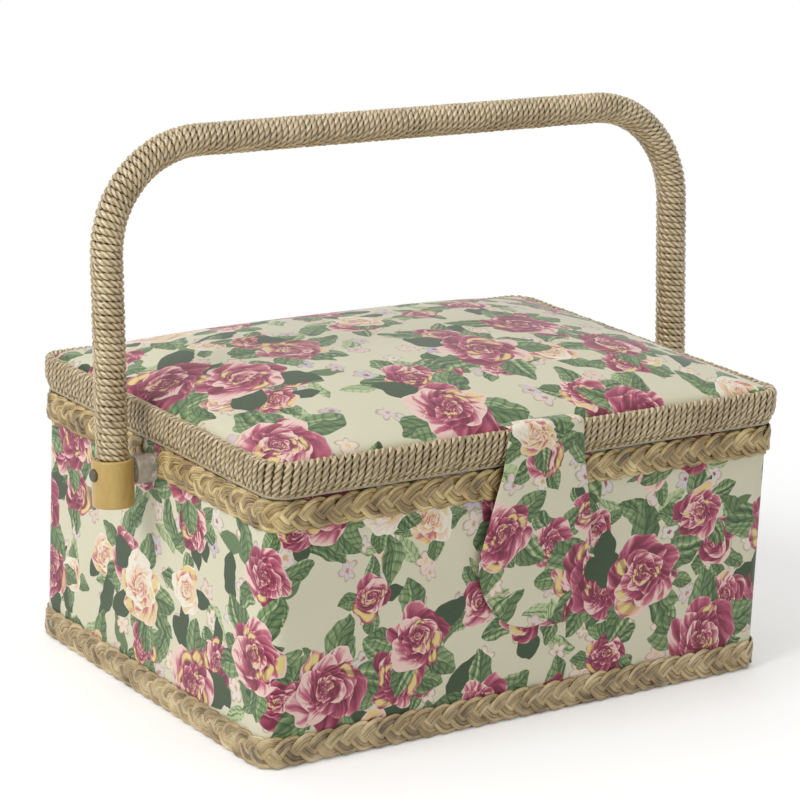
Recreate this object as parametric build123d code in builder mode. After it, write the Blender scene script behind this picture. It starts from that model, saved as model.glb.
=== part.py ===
from build123d import *
import os
from math import atan, cos, degrees, pi, radians, sin

os.makedirs("parts", exist_ok=True)

# A fabric-covered sewing box: a rectangular box with a padded, hinged lid, two straw
# braids, a cord-wound rim, a closing tab at the front and a wound bail handle.
# Millimetres. The origin is the middle of the underside, +Z is up, +X is the long way
# to the right and +Y goes to the back, so the closing tab is on the -Y side.

# Box body
body_width = 292.0  # left to right, over the printed fabric
body_depth = 212.0  # front to back, over the printed fabric
body_height = 128.0  # top edge of the walls above the table
body_corner = 9.0  # radius of the upright corners, over the fabric
fabric = 0.6  # printed cotton glued on thin foam
board = 3.0  # side and bottom boards
glue = 0.1  # glue line between two layers
lining = 1.2  # quilted lining
lining_drop = 3.0  # lining ends this far under the top edge
corner_least = 1.0  # smallest corner radius of an inner layer

# Braids round the body
braid = 2.6  # thickness of the upper braid
base_braid = 2.0  # thickness of the braid round the base
braid_height = 15.0  # both braids are the same straw plait
braid_roll = 0.9  # rounding of a braid's outer edges
base_lift = 0.3  # base braid ends just above the table
braid_under_rim = 0.4  # gap from the upper braid to the top edge

# Lid rim
lid_gap = 0.4  # joint line between the box and the closed lid
rim_overhang = 4.0  # rim stands this far outside the fabric wall
rim_height = 18.0
rim_draw = 2.4  # lower edge of the rim is drawn in by this much
rim_draw_height = 7.0
rim_roll = 1.7  # rounding of the wound top edge
wrap = 1.8  # cord winding on the rim board
wrap_edge = 1.6  # winding over the top edge of the rim board
wrap_hem = 2.6  # winding under the lower edge of the rim board
wrap_lip = 1.2  # winding on the inner side of the rim board
band = 2.4  # rim board

# Lid top
lid_board = 3.0
lid_board_drop = 5.0  # top of the lid board under the top of the rim
crown_foot_drop = 0.4  # the padded top leaves the rim just under its top
crown_rise = 18.4  # height of the padded top above its foot
crown_top_share = 0.97  # share of the rise where the top flattens out
crown_levels = (0.0, 0.35, 0.65, 0.85, crown_top_share)
crown_power = 3  # how square the padded top is, seen from the side
crown_corner_growth = 0.3  # corners of the crown get rounder with each inset
lid_lining = 2.0

# Pin cushion under the lid
cushion_width = 90.0
cushion_depth = 60.0
cushion_height = 9.0
cushion_corner = 16.0
cushion_draw = 4.0  # sides draw in at the sewn edge
cushion_crown = 12.0  # the face is this much smaller all round

# Closing tab
tab = 2.4  # two fabrics round a card stiffener
tab_top_half = 21.5  # half widths down the tab
tab_rim_half = 24.0
tab_hip_half = 28.5
tab_wide_half = 33.0
tab_rim_drop = 20.0  # depths of those widths under the top of the rim
tab_hip_drop = 39.0
tab_wide_drop = 61.0
tab_length = 100.0  # top of the rim to the rounded tip
tab_clear = 0.3  # tab to the rim, and tab to its sewn root
tab_wall_clear = 0.4  # lower end of the tab to the wall
tab_bend_drop = 21.0  # the tab turns in towards the wall below the rim
tab_foot_drop = 70.0  # and lies along the wall from here down
magnet_radius = 7.0
magnet = 1.2
magnet_rise = 15.0  # centre of the magnet above the tip of the tab
plate_radius = 9.0
plate = 1.0

# Hinges on the back
hinge_x = 80.0  # each hinge from the middle
leaf = 0.8
leaf_width = 26.0
leaf_height = 13.0
leaf_corner = 1.5
knuckle_radius = 2.2
knuckle_gap = 0.3
lid_knuckle = 9.0  # length of the middle knuckle
hinge_pin_radius = 1.0
hinge_play = 0.05
rivet_radius = 0.9
rivet_head_radius = 1.8
rivet_head = 0.7
rivet_x = 8.5
rivet_drop = 8.0  # rivets from the hinge axis
rivet_play = 0.05

# Handle
pivot_drop = 12.4  # handle pivot under the top edge of the walls
handle_lean = 5.5  # degrees, the handle leans back
leg_stand = 21.3  # leg centre line outside the fabric wall
grip_rise = 152.1  # centre line of the top bar above the pivot
grip_corner = 50.0  # corner radius of the centre line
winding_radius = 7.9
cord_radius = 1.4  # cord of the winding
cord_pitch = 3.3  # from turn to turn
cord_turns = 11  # turns modelled at the foot of each leg
cord_lift = 0.15  # cord to the tube it is wound on
turn_steps = 24  # places on each turn where its gaps are measured
core_wall = 1.9  # wall of the tube in the handle
cap_radius = 10.0
cap_below = 15.75  # cap under the pivot
cap_above = 6.75  # cap over the pivot
cap_seat = 3.25  # wound handle goes this deep into the cap
cap_floor = 4.0
cap_edge = 1.0
cap_fit = 0.1
pivot_radius = 2.0
pivot_play = 0.05
pin_head_radius = 3.0
pin_head = 1.5
pin_seat = 0.5  # flat sunk in the cap for the pin's head
pin_tail_radius = 3.2
pin_tail = 1.2
pin_edge = 0.5  # rounding of the pin's two ends
washer_radius = 6.0
washer = 1.0
spacer_radius = 7.0
spacer_gap = 0.2  # spacer to the turning cap
spacer_round = 1.0
braid_notch = 1.0  # cut ends of the braid to the spacer

# Tray on its two ledges
tray_side_clear = 4.0  # tray to the lining at its left and right
tray_end_clear = 3.0  # tray to the lining at its front and back
tray_height = 36.0
tray_top_drop = 20.0  # top of the tray under the top edge of the walls
tray_corner = 8.0
tray_wall = 1.6
tray_taper = 2.0  # degrees
tray_column = 92.0  # middle compartment, wall to wall
tray_gap = 0.2  # tray to its ledges
ledge_width = 15.0
ledge_height = 8.0
ledge_end_gap = 6.0  # ledge to the front and back lining

# Places worked out from the sizes
layer_board = fabric + glue
layer_lining = layer_board + board + glue
layer_inside = layer_lining + lining
rim_z = body_height + lid_gap
rim_top = rim_z + rim_height
layer_rim = -rim_overhang
layer_band = layer_rim + wrap + glue
layer_lid_board = layer_band + band + glue
layer_lip = layer_lid_board + wrap_lip
layer_crown = layer_lip + glue
lid_board_top = rim_top - lid_board_drop
crown_foot = rim_top - crown_foot_drop
wall_x = body_width / 2
wall_y = body_depth / 2
pivot_z = body_height - pivot_drop
grip_half = wall_x + leg_stand
rim_y = wall_y + rim_overhang
hinge_y = wall_y + glue + braid + glue + knuckle_radius
hinge_z = body_height + lid_gap / 2
rivet_bore = 2 * (hinge_y - wall_y + layer_inside)  # right through the back
fold_y = -(rim_y + tab_clear + tab / 2)
fold_z = rim_top + glue + tab / 2
tip_z = rim_top - tab_length
magnet_z = tip_z + magnet_rise
tab_foot_y = -(wall_y + tab_wall_clear + tab / 2)
spacer_start = wall_x + glue
spacer_end = grip_half - cap_radius - spacer_gap
head_x = grip_half + cap_radius - pin_seat
turns_radius = winding_radius - cord_radius  # middle of the cord to the middle of the leg
core_radius = turns_radius - cord_radius - cord_lift
inside_x = wall_x - layer_inside
inside_y = wall_y - layer_inside
tray_width = 2 * (inside_x - tray_side_clear)
tray_depth = 2 * (inside_y - tray_end_clear)
tray_z = body_height - tray_top_drop - tray_height
floor_z = board + glue + lining
up = (0, sin(radians(handle_lean)), cos(radians(handle_lean)))
SIDES = ((-1, "left"), (1, "right"))


def outline(inset, mode=Mode.ADD):
    """Outline of the fabric wall, moved inwards by inset, or outwards where it is negative."""
    RectangleRounded(
        body_width - 2 * inset,
        body_depth - 2 * inset,
        max(body_corner - inset, corner_least),
        mode=mode,
    )


def layer(outer, inner, bottom, top, mode=Mode.ADD):
    """Upright ring between two insets of the outline, from bottom to top."""
    with BuildSketch(Plane.XY.offset(bottom)) as ring:
        outline(outer)
        outline(inner, mode=Mode.SUBTRACT)
    extrude(ring.sketch, amount=top - bottom, mode=mode)


def sheet(inset, bottom, top, mode=Mode.ADD):
    """Flat layer inside one inset of the outline, from bottom to top."""
    with BuildSketch(Plane.XY.offset(bottom)) as flat:
        outline(inset)
    extrude(flat.sketch, amount=top - bottom, mode=mode)


def crown(under, mode=Mode.ADD):
    """Padded top of the lid, everywhere the thickness under inside its outer face.

    From the foot up the outline closes in by half the depth times (1 - (1 - level) ** (1 / crown_power)),
    so the pad rises steeply at the rim and is nearly flat in the middle.
    """
    half = wall_y - layer_crown - under
    sheet(layer_crown + under, lid_board_top + glue, crown_foot, mode=mode)
    rings = []
    for level in crown_levels:
        inset = half * (1 - (1 - level) ** (1 / crown_power))
        height = crown_foot + level * (crown_rise - under)
        with BuildSketch(Plane.XY.offset(height)) as ring:
            RectangleRounded(
                body_width - 2 * (layer_crown + under + inset),
                body_depth - 2 * (layer_crown + under + inset),
                body_corner - layer_crown - under + crown_corner_growth * inset,
            )
        rings.append(ring.sketch)
    loft(rings, mode=mode)


def cross_bore(x, length, radius, height=pivot_z, mode=Mode.SUBTRACT):
    """Round bar or hole along X, centred at x on the pivot line."""
    with Locations((x, 0, height)):
        Cylinder(radius, length, rotation=(0, 90, 0), mode=mode)


def rivet_places(direction):
    """Middles of the four rivets above (1) or below (-1) the hinge axis, on the axis plane."""
    return [
        (side * hinge_x + offset, hinge_y, hinge_z + direction * rivet_drop)
        for side, _ in SIDES
        for offset in (-rivet_x, rivet_x)
    ]


def rivet_holes(direction):
    """Holes for the rivets, straight through from the back."""
    with Locations(*rivet_places(direction)):
        Cylinder(rivet_radius + rivet_play, rivet_bore, rotation=(90, 0, 0), mode=Mode.SUBTRACT)


# Box body

with BuildPart() as bottom_board:
    sheet(layer_board, 0, board)
bottom_board.part.label = "bottom_board"
export_step(bottom_board.part, "parts/bottom_board.step")

with BuildPart() as side_board:
    layer(layer_board, layer_board + board, board + glue, body_height - fabric - glue)
    cross_bore(0, body_width, pivot_radius + pivot_play)
    rivet_holes(-1)
    with Locations((0, -wall_y + layer_board, magnet_z)):
        Cylinder(
            plate_radius + glue, 2 * (plate + glue), rotation=(90, 0, 0), mode=Mode.SUBTRACT
        )
side_board.part.label = "side_board"
export_step(side_board.part, "parts/side_board.step")

with BuildPart() as cover_fabric:
    layer(0, fabric, base_lift, body_height)
    layer(0, layer_board + board, body_height - fabric, body_height)
    cross_bore(0, body_width, pivot_radius + pivot_play)
    rivet_holes(-1)
cover_fabric.part.label = "cover_fabric"
export_step(cover_fabric.part, "parts/cover_fabric.step")

with BuildPart() as lining_floor:
    sheet(layer_lining, board + glue, board + glue + lining)
lining_floor.part.label = "lining_floor"
export_step(lining_floor.part, "parts/lining_floor.step")

with BuildPart() as lining_sides:
    layer(layer_lining, layer_inside, floor_z + glue, body_height - lining_drop)
    cross_bore(0, body_width, pivot_radius + pivot_play)
lining_sides.part.label = "lining_sides"
export_step(lining_sides.part, "parts/lining_sides.step")

with BuildPart() as base_strip:
    layer(-glue - base_braid, -glue, base_lift, base_lift + braid_height)
    outer = base_strip.faces().filter_by(Axis.Z).sort_by(Axis.Z)
    fillet([face.outer_wire().edges() for face in (outer[0], outer[-1])], braid_roll)
base_strip.part.label = "base_braid"
export_step(base_strip.part, "parts/base_braid.step")

# The upper braid is cut at both handle spacers, so it is a front and a back length
braid_top = body_height - braid_under_rim
braid_cut = spacer_radius + braid_notch
for direction, name in ((-1, "front"), (1, "back")):
    with BuildPart() as upper_braid:
        layer(-glue - braid, -glue, braid_top - braid_height, braid_top)
        ends = upper_braid.faces().filter_by(Axis.Z).sort_by(Axis.Z)
        fillet([face.outer_wire().edges() for face in (ends[0], ends[-1])], braid_roll)
        cut = Plane(origin=(0, direction * braid_cut, 0), z_dir=(0, direction, 0))
        split(bisect_by=cut, keep=Keep.TOP)
        rivet_holes(-1)
    upper_braid.part.label = f"upper_braid_{name}"
    export_step(upper_braid.part, f"parts/upper_braid_{name}.step")

with BuildPart() as catch_plate:
    with Locations((0, -wall_y + layer_board + plate / 2, magnet_z)):
        Cylinder(plate_radius, plate, rotation=(90, 0, 0))
catch_plate.part.label = "catch_plate"
export_step(catch_plate.part, "parts/catch_plate.step")

# Handle pivots: a clear spacer between wall and cap, and a riveted pin through all layers

for side, name in SIDES:
    spacer_length = spacer_end - spacer_start
    with BuildPart() as pivot_spacer:
        cross_bore(side * (spacer_start + spacer_length / 2), spacer_length, spacer_radius, mode=Mode.ADD)
        fillet(pivot_spacer.edges().filter_by(GeomType.CIRCLE), spacer_round)
        cross_bore(side * spacer_start, body_width, pivot_radius + pivot_play)
    pivot_spacer.part.label = f"pivot_spacer_{name}"
    export_step(pivot_spacer.part, f"parts/pivot_spacer_{name}.step")

    washer_x = inside_x - glue - washer / 2
    with BuildPart() as pivot_washer:
        cross_bore(side * washer_x, washer, washer_radius, mode=Mode.ADD)
        cross_bore(side * washer_x, 2 * washer, pivot_radius + pivot_play)
    pivot_washer.part.label = f"pivot_washer_{name}"
    export_step(pivot_washer.part, f"parts/pivot_washer_{name}.step")

    tail_x = inside_x - glue - washer - glue
    pin_length = head_x - tail_x + pin_head
    with BuildPart() as pivot_pin:
        cross_bore(side * (head_x + tail_x) / 2, pin_length, pivot_radius, mode=Mode.ADD)
        cross_bore(side * (head_x + glue + pin_head / 2), pin_head, pin_head_radius, mode=Mode.ADD)
        cross_bore(side * (tail_x - pin_tail / 2), pin_tail, pin_tail_radius, mode=Mode.ADD)
        rims = pivot_pin.edges().filter_by(GeomType.CIRCLE).sort_by(Axis.X)
        fillet([rims[0], rims[-1]], pin_edge)
    pivot_pin.part.label = f"pivot_pin_{name}"
    export_step(pivot_pin.part, f"parts/pivot_pin_{name}.step")

# Hinges: a leaf riveted over the back braid, a leaf on the rim, and the pin between them

knuckle_side = (leaf_width - lid_knuckle) / 2 - knuckle_gap
body_leaf_y = hinge_y - knuckle_radius + leaf / 2
lid_leaf_y = rim_y + glue + leaf / 2
knuckle_clear = knuckle_radius + knuckle_gap
hinge_bore = hinge_pin_radius + hinge_play


def leaf_plate(x, y, direction):
    """Flat of a hinge leaf on the back, above (1) or below (-1) the knuckles."""
    middle = hinge_z + direction * (knuckle_clear + leaf_height / 2)
    with Locations((x, y, middle)):
        Box(leaf_width, leaf, leaf_height)


for side, name in SIDES:
    x = side * hinge_x
    knuckle_x = (lid_knuckle + knuckle_side) / 2 + knuckle_gap
    with BuildPart() as hinge_leaf_body:
        leaf_plate(x, body_leaf_y, -1)
        fillet(hinge_leaf_body.edges().filter_by(Axis.Y).group_by(Axis.Z)[0], leaf_corner)
        for place in (x - knuckle_x, x + knuckle_x):
            with Locations((place, hinge_y, hinge_z)):
                Cylinder(knuckle_radius, knuckle_side, rotation=(0, 90, 0))
            with Locations((place, body_leaf_y, hinge_z - knuckle_clear / 2 - leaf)):
                Box(knuckle_side, leaf, knuckle_clear + 2 * leaf)
        with Locations((x, hinge_y, hinge_z)):
            Cylinder(hinge_bore, 2 * leaf_width, rotation=(0, 90, 0), mode=Mode.SUBTRACT)
        rivet_holes(-1)
    hinge_leaf_body.part.label = f"hinge_leaf_body_{name}"
    export_step(hinge_leaf_body.part, f"parts/hinge_leaf_body_{name}.step")

    with BuildPart() as hinge_leaf_lid:
        leaf_plate(x, lid_leaf_y, 1)
        fillet(hinge_leaf_lid.edges().filter_by(Axis.Y).group_by(Axis.Z)[-1], leaf_corner)
        with Locations((x, hinge_y, hinge_z)):
            Cylinder(knuckle_radius, lid_knuckle, rotation=(0, 90, 0))
        with Locations((x, lid_leaf_y, hinge_z + knuckle_clear / 2 + leaf)):
            Box(lid_knuckle, leaf, knuckle_clear + 2 * leaf)
        with Locations((x, hinge_y, hinge_z)):
            Cylinder(hinge_bore, 2 * leaf_width, rotation=(0, 90, 0), mode=Mode.SUBTRACT)
        rivet_holes(1)
    hinge_leaf_lid.part.label = f"hinge_leaf_lid_{name}"
    export_step(hinge_leaf_lid.part, f"parts/hinge_leaf_lid_{name}.step")

    with BuildPart() as hinge_pin:
        with Locations((x, hinge_y, hinge_z)):
            Cylinder(hinge_pin_radius, leaf_width, rotation=(0, 90, 0))
    hinge_pin.part.label = f"hinge_pin_{name}"
    export_step(hinge_pin.part, f"parts/hinge_pin_{name}.step")

for direction, name, leaf_y, end_layer in (
    (-1, "body", body_leaf_y, layer_board + board),
    (1, "lid", lid_leaf_y, layer_band + band),
):
    back = leaf_y + leaf / 2 + glue
    front = wall_y - end_layer
    with BuildPart() as hinge_rivets:
        for px, py, pz in rivet_places(direction):
            with Locations((px, (back + front) / 2, pz)):
                Cylinder(rivet_radius, back - front, rotation=(90, 0, 0))
            with Locations((px, back + rivet_head / 2, pz)):
                Cylinder(rivet_head_radius, rivet_head, rotation=(90, 0, 0))
    hinge_rivets.part.label = f"hinge_rivets_{name}"
    export_step(hinge_rivets.part, f"parts/hinge_rivets_{name}.step")

# Lid

band_foot = rim_z + wrap_hem
band_top = rim_top - wrap_edge
with BuildPart() as rim_band:
    layer(layer_band, layer_band + band, band_foot, band_top)
    rivet_holes(1)
rim_band.part.label = "rim_band"
export_step(rim_band.part, "parts/rim_band.step")

with BuildPart() as rim_wrap:
    draw_z = rim_z + rim_draw_height
    sheet(layer_rim, draw_z, rim_top)
    with BuildSketch(Plane.XY.offset(draw_z)) as drawn:
        outline(layer_rim)
    extrude(drawn.sketch, amount=-rim_draw_height, taper=degrees(atan(rim_draw / rim_draw_height)))
    fillet(rim_wrap.faces().sort_by(Axis.Z)[-1].edges(), rim_roll)
    layer(
        layer_band - glue,
        layer_band + band + glue,
        band_foot - glue,
        band_top + glue,
        mode=Mode.SUBTRACT,
    )
    sheet(layer_lip, rim_z, rim_top, mode=Mode.SUBTRACT)
    sheet(
        layer_lid_board - glue,
        lid_board_top - lid_board - glue,
        lid_board_top + glue,
        mode=Mode.SUBTRACT,
    )
    rivet_holes(1)
rim_wrap.part.label = "rim_wrap"
export_step(rim_wrap.part, "parts/rim_wrap.step")

with BuildPart() as lid_board_sheet:
    sheet(layer_lid_board, lid_board_top - lid_board, lid_board_top)
lid_board_sheet.part.label = "lid_board"
export_step(lid_board_sheet.part, "parts/lid_board.step")

with BuildPart() as lid_pad:
    crown(fabric + glue)
lid_pad.part.label = "lid_pad"
export_step(lid_pad.part, "parts/lid_pad.step")

with BuildPart() as lid_cover:
    crown(0)
    crown(fabric, mode=Mode.SUBTRACT)
lid_cover.part.label = "lid_cover"
export_step(lid_cover.part, "parts/lid_cover.step")

lid_inside = lid_board_top - lid_board - glue - lid_lining
with BuildPart() as lid_lining_sheet:
    sheet(layer_crown, lid_inside, lid_inside + lid_lining)
lid_lining_sheet.part.label = "lid_lining"
export_step(lid_lining_sheet.part, "parts/lid_lining.step")

with BuildPart() as pin_cushion:
    cushion_seat = lid_inside - glue
    stages = ((0, cushion_draw), (cushion_height / 2, 0), (cushion_height, cushion_crown))
    for drop, inset in stages:
        with BuildSketch(Plane.XY.offset(cushion_seat - drop)):
            RectangleRounded(cushion_width - 2 * inset, cushion_depth - 2 * inset, cushion_corner)
    loft()
pin_cushion.part.label = "pin_cushion"
export_step(pin_cushion.part, "parts/pin_cushion.step")

# Closing tab: sewn under the edge of the padded top, it folds over the rim and hangs down

root_front = fold_y + tab / 2 + tab_clear
root_back = -(wall_y - layer_crown) - tab_clear
with BuildPart() as tab_root:
    with Locations((0, (root_front + root_back) / 2, fold_z)):
        Box(2 * tab_top_half, root_back - root_front, tab)
tab_root.part.label = "tab_root"
export_step(tab_root.part, "parts/tab_root.step")

with BuildPart() as closure_tab:
    with BuildSketch(Plane.XZ.offset(wall_y)) as shield:
        with BuildLine():
            top_right = (tab_top_half, fold_z + tab)
            wide_right = (tab_wide_half, rim_top - tab_wide_drop)
            right = Spline(
                top_right,
                (tab_rim_half, rim_top - tab_rim_drop),
                (tab_hip_half, rim_top - tab_hip_drop),
                wide_right,
                tangents=[(0, -1), (0, -1)],
            )
            mirror(right, about=Plane.YZ)
            Line(top_right, (-tab_top_half, fold_z + tab))
            EllipticalCenterArc(
                (0, rim_top - tab_wide_drop),
                tab_wide_half,
                tab_length - tab_wide_drop,
                start_angle=180,
                arc_size=180,
            )
        make_face()
    extrude(amount=2 * (rim_overhang + tab + tab_clear))
    with BuildSketch(Plane.YZ) as side_view:
        with BuildLine() as run:
            Polyline(
                (fold_y, fold_z),
                (fold_y, rim_top - tab_bend_drop),
                (tab_foot_y, rim_top - tab_foot_drop),
                (tab_foot_y, tip_z - tab),
            )
        trace(line_width=tab)
        with Locations((fold_y, fold_z)):
            Circle(tab / 2)
    extrude(amount=tab_wide_half + tab, both=True, mode=Mode.INTERSECT)
    with Locations((0, tab_foot_y + tab / 2, magnet_z)):
        Cylinder(magnet_radius + glue, 2 * (magnet + glue), rotation=(90, 0, 0), mode=Mode.SUBTRACT)
closure_tab.part.label = "closure_tab"
export_step(closure_tab.part, "parts/closure_tab.step")

with BuildPart() as tab_magnet:
    with Locations((0, tab_foot_y + tab / 2 - magnet / 2, magnet_z)):
        Cylinder(magnet_radius, magnet, rotation=(90, 0, 0))
tab_magnet.part.label = "tab_magnet"
export_step(tab_magnet.part, "parts/tab_magnet.step")

# Handle: a tube wound with cord, with a cap on each end that turns on its pivot pin

handle_plane = Plane(origin=(0, 0, pivot_z), x_dir=(1, 0, 0), z_dir=(0, -up[2], up[1]))
core_end = -cap_below + cap_floor + cap_fit
turns_start = cap_above - cap_seat + cap_fit + cord_radius
sleeve_start = turns_start + cord_turns * cord_pitch + cord_radius + cord_lift


def bail(start, outer, inner):
    """Round tube along the bail, from start above the pivot line on both legs."""
    with BuildLine(handle_plane) as path:
        FilletPolyline(
            (-grip_half, start),
            (-grip_half, grip_rise),
            (grip_half, grip_rise),
            (grip_half, start),
            radius=grip_corner,
        )
    with BuildSketch(Plane(origin=path.line @ 0, z_dir=path.line % 0)) as ring:
        Circle(outer)
        Circle(inner, mode=Mode.SUBTRACT)
    sweep(ring.sketch, path=path.line)


def cap_stage(side, radius, bottom, top, mode=Mode.SUBTRACT):
    """Round stage of a handle cap, between two heights along the leg."""
    foot = handle_plane.from_local_coords((side * grip_half, bottom, 0))
    with BuildSketch(Plane(origin=foot, x_dir=(1, 0, 0), z_dir=up)) as disc:
        Circle(radius)
    extrude(disc.sketch, amount=top - bottom, mode=mode)


with BuildPart() as handle_core:
    bail(core_end, core_radius, core_radius - core_wall)
    cross_bore(0, 4 * grip_half, pivot_radius + pivot_play)
handle_core.part.label = "handle_core"
export_step(handle_core.part, "parts/handle_core.step")

with BuildPart() as handle_wrap:
    bail(sleeve_start, winding_radius, core_radius + cap_fit)
handle_wrap.part.label = "handle_wrap"
export_step(handle_wrap.part, "parts/handle_wrap.step")


def helix_point(side, turn):
    """Middle of the cord after so many turns round a leg, and the direction it runs in."""
    angle = 2 * pi * turn
    round_x, round_y = cos(angle), sin(angle)
    spot = (
        side * grip_half + turns_radius * round_x,
        turns_start + cord_pitch * turn,
        turns_radius * round_y,
    )
    run = (-turns_radius * round_y, cord_pitch / (2 * pi), turns_radius * round_x)
    place = handle_plane.from_local_coords(spot)
    return place, (handle_plane.from_local_coords(run) - handle_plane.origin).normalized()


def biarc(start, start_run, end, end_run):
    """Two arcs from start to end that meet each other and both ends without a kink."""
    chord = end - start
    spread = 1 - start_run.dot(end_run)
    pull = chord.dot(start_run + end_run)
    reach = (-pull + (pull**2 + 2 * spread * chord.dot(chord)) ** 0.5) / (2 * spread)
    middle = (start + end + (start_run - end_run) * reach) * 0.5
    first = TangentArc(start, middle, tangent=start_run)
    TangentArc(middle, end, tangent=first % 1)


# The cord's own turns show at the foot of each leg; the sleeve stands for the rest of them
for side, name in SIDES:
    quarters = [helix_point(side, quarter / 4) for quarter in range(4 * cord_turns + 1)]
    with BuildPart() as leg_turns:
        with BuildLine() as coil:
            for (start, start_run), (end, end_run) in zip(quarters, quarters[1:]):
                biarc(start, start_run, end, end_run)
        with BuildSketch(Plane(origin=quarters[0][0], z_dir=quarters[0][1])) as section:
            Circle(cord_radius)
        sweep(section.sketch, path=coil.wires()[0])
    leg_turns.part.label = f"handle_turns_{name}"
    export_step(leg_turns.part, f"parts/handle_turns_{name}.step")
    cord = coil.wires()[0]
    steps = turn_steps * cord_turns
    spots = [cord @ (step / steps) for step in range(steps + 1)]
    far = turn_steps // 2
    gaps = [(a - b).length for i, a in enumerate(spots) for b in spots[i + far :]]
    least_gap = min(gaps) - 2 * cord_radius
    print(f"{name} leg: least gap between turns {least_gap:.2f} mm, cord {cord.length:.0f} mm")

for side, name in SIDES:
    with BuildPart() as handle_cap:
        cap_stage(side, cap_radius, -cap_below, cap_above, mode=Mode.ADD)
        fillet(handle_cap.edges().filter_by(GeomType.CIRCLE), cap_edge)
        cap_stage(side, winding_radius + cap_fit, cap_above - cap_seat, cap_above + cap_radius)
        cap_stage(side, core_radius + cap_fit, -cap_below + cap_floor, cap_above)
        cross_bore(side * grip_half, 4 * cap_radius, pivot_radius + pivot_play)
        cross_bore(side * (head_x + cap_radius), 2 * cap_radius, pin_head_radius + cap_fit)
    handle_cap.part.label = f"handle_cap_{name}"
    export_step(handle_cap.part, f"parts/handle_cap_{name}.step")

# Lift-out tray on two ledges

ledge_top = tray_z - tray_gap
for side, name in SIDES:
    with BuildPart() as ledge:
        ledge_x = side * (inside_x - glue - ledge_width / 2)
        with Locations((ledge_x, 0, ledge_top - ledge_height / 2)):
            Box(ledge_width, 2 * (inside_y - ledge_end_gap), ledge_height)
    ledge.part.label = f"tray_ledge_{name}"
    export_step(ledge.part, f"parts/tray_ledge_{name}.step")

tray_end = (tray_width - tray_column) / 2 - 1.5 * tray_wall
tray_half = tray_depth / 2 - 1.5 * tray_wall
cell_x = (tray_column + tray_wall + tray_end) / 2
cell_y = (tray_half + tray_wall) / 2
cell_places = [(sx * cell_x, sy * cell_y) for sx in (-1, 1) for sy in (-1, 1)]
cell_corner = tray_corner - tray_wall
with BuildPart() as tray:
    tray_top = tray_z + tray_height
    with BuildSketch(Plane.XY.offset(tray_top)):
        RectangleRounded(tray_width, tray_depth, tray_corner)
    extrude(amount=-tray_height, taper=tray_taper)
    with BuildSketch(Plane.XY.offset(tray_top)):
        RectangleRounded(tray_column - tray_wall, tray_depth - 2 * tray_wall, cell_corner)
        with Locations(*cell_places):
            RectangleRounded(tray_end, tray_half, cell_corner)
    extrude(amount=tray_wall - tray_height, taper=tray_taper, mode=Mode.SUBTRACT)
tray.part.label = "tray"
export_step(tray.part, "parts/tray.step")
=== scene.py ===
# %% [markdown]
# # A fabric-covered sewing box
#
# The box is made of thin boards covered with a rose-printed cotton. Its padded lid sits in a rim
# wound with shiny cord, straw plaits run round the body, and a bail handle wound in the same cord
# turns on two pins. Everything is in metres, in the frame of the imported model: its middle is the
# middle of the underside, Z is up and the closing tab is on the -Y side.

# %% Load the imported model
import bpy
import bmesh
import numpy as np
from mathutils import Matrix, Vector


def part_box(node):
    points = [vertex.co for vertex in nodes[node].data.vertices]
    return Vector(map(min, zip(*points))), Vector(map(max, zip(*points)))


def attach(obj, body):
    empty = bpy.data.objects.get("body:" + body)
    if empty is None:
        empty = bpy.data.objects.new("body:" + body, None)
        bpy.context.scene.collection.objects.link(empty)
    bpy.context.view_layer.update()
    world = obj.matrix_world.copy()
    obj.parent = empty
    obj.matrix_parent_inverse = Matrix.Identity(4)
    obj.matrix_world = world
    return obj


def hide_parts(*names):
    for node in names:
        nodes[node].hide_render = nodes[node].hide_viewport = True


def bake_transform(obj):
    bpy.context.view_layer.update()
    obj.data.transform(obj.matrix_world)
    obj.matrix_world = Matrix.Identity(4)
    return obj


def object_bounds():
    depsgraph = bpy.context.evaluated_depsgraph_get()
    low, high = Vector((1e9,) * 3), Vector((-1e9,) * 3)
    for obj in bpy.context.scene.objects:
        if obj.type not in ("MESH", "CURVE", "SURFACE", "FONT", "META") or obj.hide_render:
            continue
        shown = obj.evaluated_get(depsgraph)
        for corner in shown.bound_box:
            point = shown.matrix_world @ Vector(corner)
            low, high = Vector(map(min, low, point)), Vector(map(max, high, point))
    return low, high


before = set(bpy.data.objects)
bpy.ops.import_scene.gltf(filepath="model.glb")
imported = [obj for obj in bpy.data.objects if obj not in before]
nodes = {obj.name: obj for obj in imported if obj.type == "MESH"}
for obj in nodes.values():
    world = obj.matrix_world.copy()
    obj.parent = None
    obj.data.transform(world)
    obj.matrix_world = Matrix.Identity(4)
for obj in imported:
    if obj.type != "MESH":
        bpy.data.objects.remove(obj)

cad_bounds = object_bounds()
MM = 0.001
print("pieces from the packed model:", len(nodes))

# %% [markdown]
# ## Surfaces from grids of points
#
# A plait, a wound cord and a cloth are all one kind of thing: a grid of points with faces between
# its rows and columns. They could be modelled by hand, but a grid that is worked out by a formula
# can be as fine as the cord is, and it can be changed by one number. So the first helper turns a
# grid, or a stack of grids, into a mesh. A grid that is closed in a direction joins its last row
# to its first, and its cloth coordinates run one step further so that no print is stretched there.

# %% Rows and faces
def indices(count, closed):
    """Number of each row and of the row after it: the last is followed by the first if closed."""
    here = np.arange(count if closed else count - 1)
    return here, (here + 1) % count


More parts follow.
